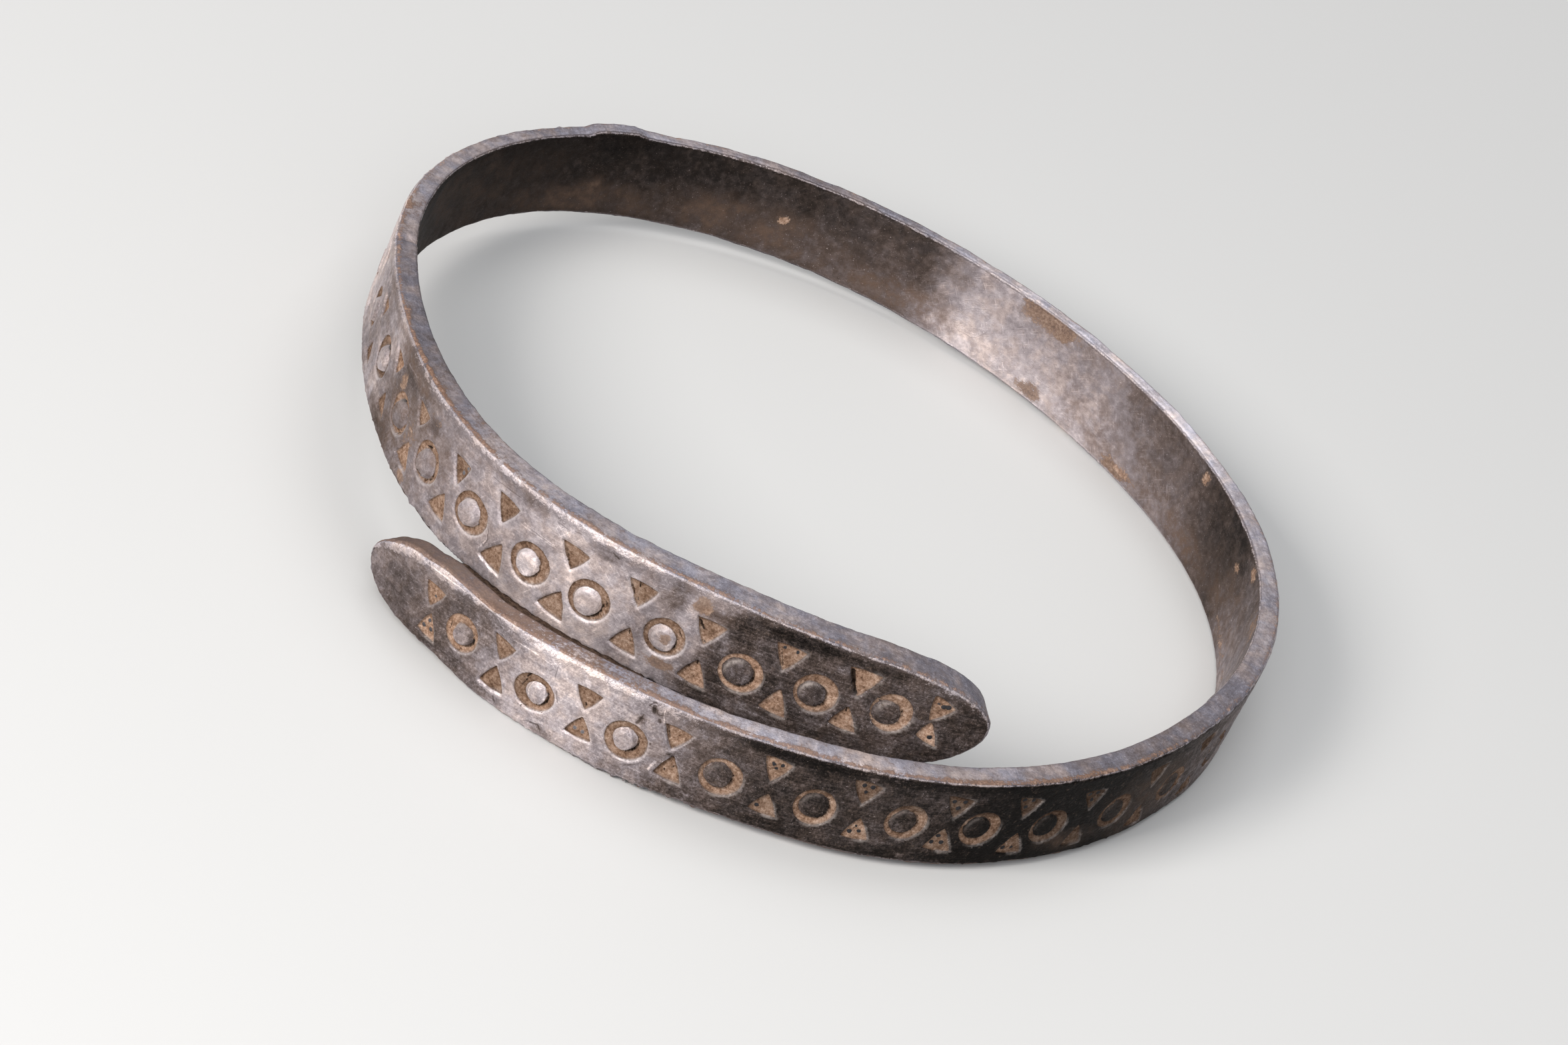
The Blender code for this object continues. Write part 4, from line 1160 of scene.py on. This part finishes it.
def soiled_metal(silver, at, metal):
    """Dry soil in the punched marks, with painted shade against their walls, and in patches along the edges.

    Gives the share that is soil, and the colour with the cracks and pits, the painted shadows by the bosses
    and the painted rim highlights in it.
    """
    times, rise, weighed, note = silver.times, silver.rise, silver.weighed, silver.note
    in_mark = rise(weighed(at.outline, (at.grit, 0.06)), -0.04, 0.005, 1.0, 0.0)
    in_mark = times(in_mark, rise(at.pellet, -0.03, 0.03))
    patch = weighed(note("soil"), (at.mottle, 1.1), (at.grit, 1.2), (at.drawn, 0.25))
    patch = rise(patch, 0.36, 0.74, 0.0, 0.85)
    soiled = silver.most(times(in_mark, at.face), patch)
    clod = weighed(0.5, (at.grit, 1.5), (at.mottle, 1.0), (at.cloud, 0.5))
    earth = silver.coloured(clod, SOIL_COLOURS)
    # Painted shade darkens the soil against the marks' walls; it is also darker on edges and lighter on dark
    # tarnish.
    shade = times(rise(at.outline, -0.2, -0.02, 1.0, 0.66), rise(at.edge, 0.3, 0.9, 1.0, 0.68))
    shade = times(shade, rise(note("tarnish"), 0.4, 1.1, 0.68, 1.08))
    shade = times(shade, note("tone"))
    shade = times(shade, rise(patch, 0.0, 0.8, 1.0, 1.45))
    # Cracks and pits darkened, and the gap at each boss's right foot painted dark as the boss's shadow.
    crack_and_shadow_darkening = rise(weighed(at.crack_and_shadow, (at.grit, 0.12)), -0.05, 0.03, 0.12, 1.0)
    earth = silver.multiplied(earth, silver.grey(shade))
    earth = silver.multiplied(earth, EDGE_SOIL_RED, at.edge)
    colour = silver.multiplied(silver.mixed(soiled, metal, earth), silver.grey(crack_and_shadow_darkening))
    # Painted highlights on the rims and boss bevels, pale on bright silver and darker on tarnish.
    rim_highlight_tone = silver.mixed(rise(note("tarnish"), 0.3, 1.0), PALE_RIM_HIGHLIGHT, DARK_RIM_HIGHLIGHT)
    rim_highlight_share = times(note("painted_rim_highlight"), rise(at.mottle, 0.3, 0.6, 0.2, 0.65))
    return soiled, silver.mixed(rim_highlight_share, colour, rim_highlight_tone)


def aged_silver():
    """Worn silver, dark tarnish and dry soil, told apart by the notes on the mesh and broken up by noise."""
    silver = Finish("aged_silver")
    times, rise, weighed, bump = silver.times, silver.rise, silver.weighed, silver.bump
    at = read_strip(silver)
    tarnish = tarnish_on(silver, at)
    soiled, colour = soiled_metal(silver, at, metal_under(silver, at, tarnish))
    bare = silver.minus(1.0, soiled)
    metallic = times(rise(tarnish, 0.0, 0.9, 0.45, 0.2), bare)
    gloss = weighed(rise(tarnish, -0.1, 0.8, 0.5, 0.55), (at.grit, 0.25), (at.mottle, 0.2))
    roughness = silver.node("ShaderNodeMix", {0: soiled, 2: gloss, 3: 0.95}).outputs[0]
    lines = bump(silver.plus(at.rubbed, at.crossed), 0.00002, 0.5)
    lines = bump(at.drawn, 0.00003, 0.4, lines)
    dents = bump(at.mottle, 0.0001, 0.5, lines)
    rough = silver.plus(silver.note("tarnish"), rise(at.outline, -0.04, 0.0, 1.0, 0.0))
    normal = bump(times(at.grit, rise(rough, 0.0, 1.2, 0.35, 1.0)), 0.0001, 0.7, dents)
    chips = times(silver.speckle(at.strip, 3.0, 3.0, 0.6), at.corner)
    normal = bump(chips, 0.00025, 0.8, normal)
    silver.set(
        Base_Color=colour, Metallic=metallic, Roughness=roughness, Normal=normal, Specular_IOR_Level=0.05,
    )
    return silver.material


def dry_soil_and_shade():
    soil = Finish("dry_soil_and_shade")
    crumbs = soil.speckle(soil.node("ShaderNodeTexCoord").outputs["Object"], 3000.0, 4.0, 0.7)
    # Painted shade: the packed soil is coloured dark for the shade between the runs.
    colour = soil.mixed(soil.rise(crumbs, 0.35, 0.65), PACKED_SOIL_SHADE_DARK, PACKED_SOIL_SHADE_LIGHT)
    soil.set(Base_Color=colour, Normal=soil.bump(crumbs, 0.0002, 0.8), Roughness=0.95, Specular_IOR_Level=0.1)
    return soil.material


def pale_floor():
    sheet = bmesh.new()
    bmesh.ops.create_grid(sheet, x_segments=1, y_segments=1, size=FLOOR_HALF)
    bmesh.ops.translate(sheet, verts=sheet.verts[:], vec=(0, 0, -FLOOR_DROP))
    floor = finished("floor", sheet)
    plain = Finish("pale_floor")
    plain.set(Base_Color=FLOOR_COLOUR, Roughness=0.6)
    floor.data.materials.append(plain.material)


def softbox(name, place, size, power, colour):
    """A square light that faces the middle of the bracelet."""
    light = bpy.data.lights.new(name, "AREA")
    light.shape = "SQUARE"
    light.size = size
    light.energy = power
    light.color = colour
    lamp = bpy.data.objects.new(name, light)
    bpy.context.scene.collection.objects.link(lamp)
    lamp.location = place
    lamp.rotation_euler = (-Vector(place)).to_track_quat("-Z", "Y").to_euler()


def studio():
    world = bpy.data.worlds.new("studio")
    bpy.context.scene.world = world
    world.use_nodes = True
    background = world.node_tree.nodes["Background"]
    background.inputs["Color"].default_value = SKY_COLOUR
    background.inputs["Strength"].default_value = SKY_STRENGTH
    for light in SOFTBOXES:
        softbox(*light)
    bpy.context.scene.view_settings.view_transform = "Standard"


def photograph_camera():
    data = bpy.data.cameras.new("camera")
    data.lens = CAMERA_LENS
    data.sensor_width = 36
    data.clip_start = 0.01
    camera = bpy.data.objects.new("camera", data)
    bpy.context.scene.collection.objects.link(camera)
    look = (Vector(CAMERA_AIM) - Vector(CAMERA_PLACE)).to_track_quat("-Z", "Y").to_matrix()
    roll = Matrix.Rotation(math.radians(CAMERA_ROLL), 3, "Z")
    camera.matrix_world = Matrix.Translation(CAMERA_PLACE) @ (look @ roll).to_4x4()
    bpy.context.scene.camera = camera


coil = Coil()
bracelet = build_bracelet(coil)
bracelet.data.materials.append(aged_silver())
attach(bracelet, "root")
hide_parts("bracelet_band")
packed_soil_and_shade = build_packed_soil_and_shade(coil)
packed_soil_and_shade.data.materials.append(dry_soil_and_shade())
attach(packed_soil_and_shade, "root")
pale_floor()
studio()
photograph_camera()
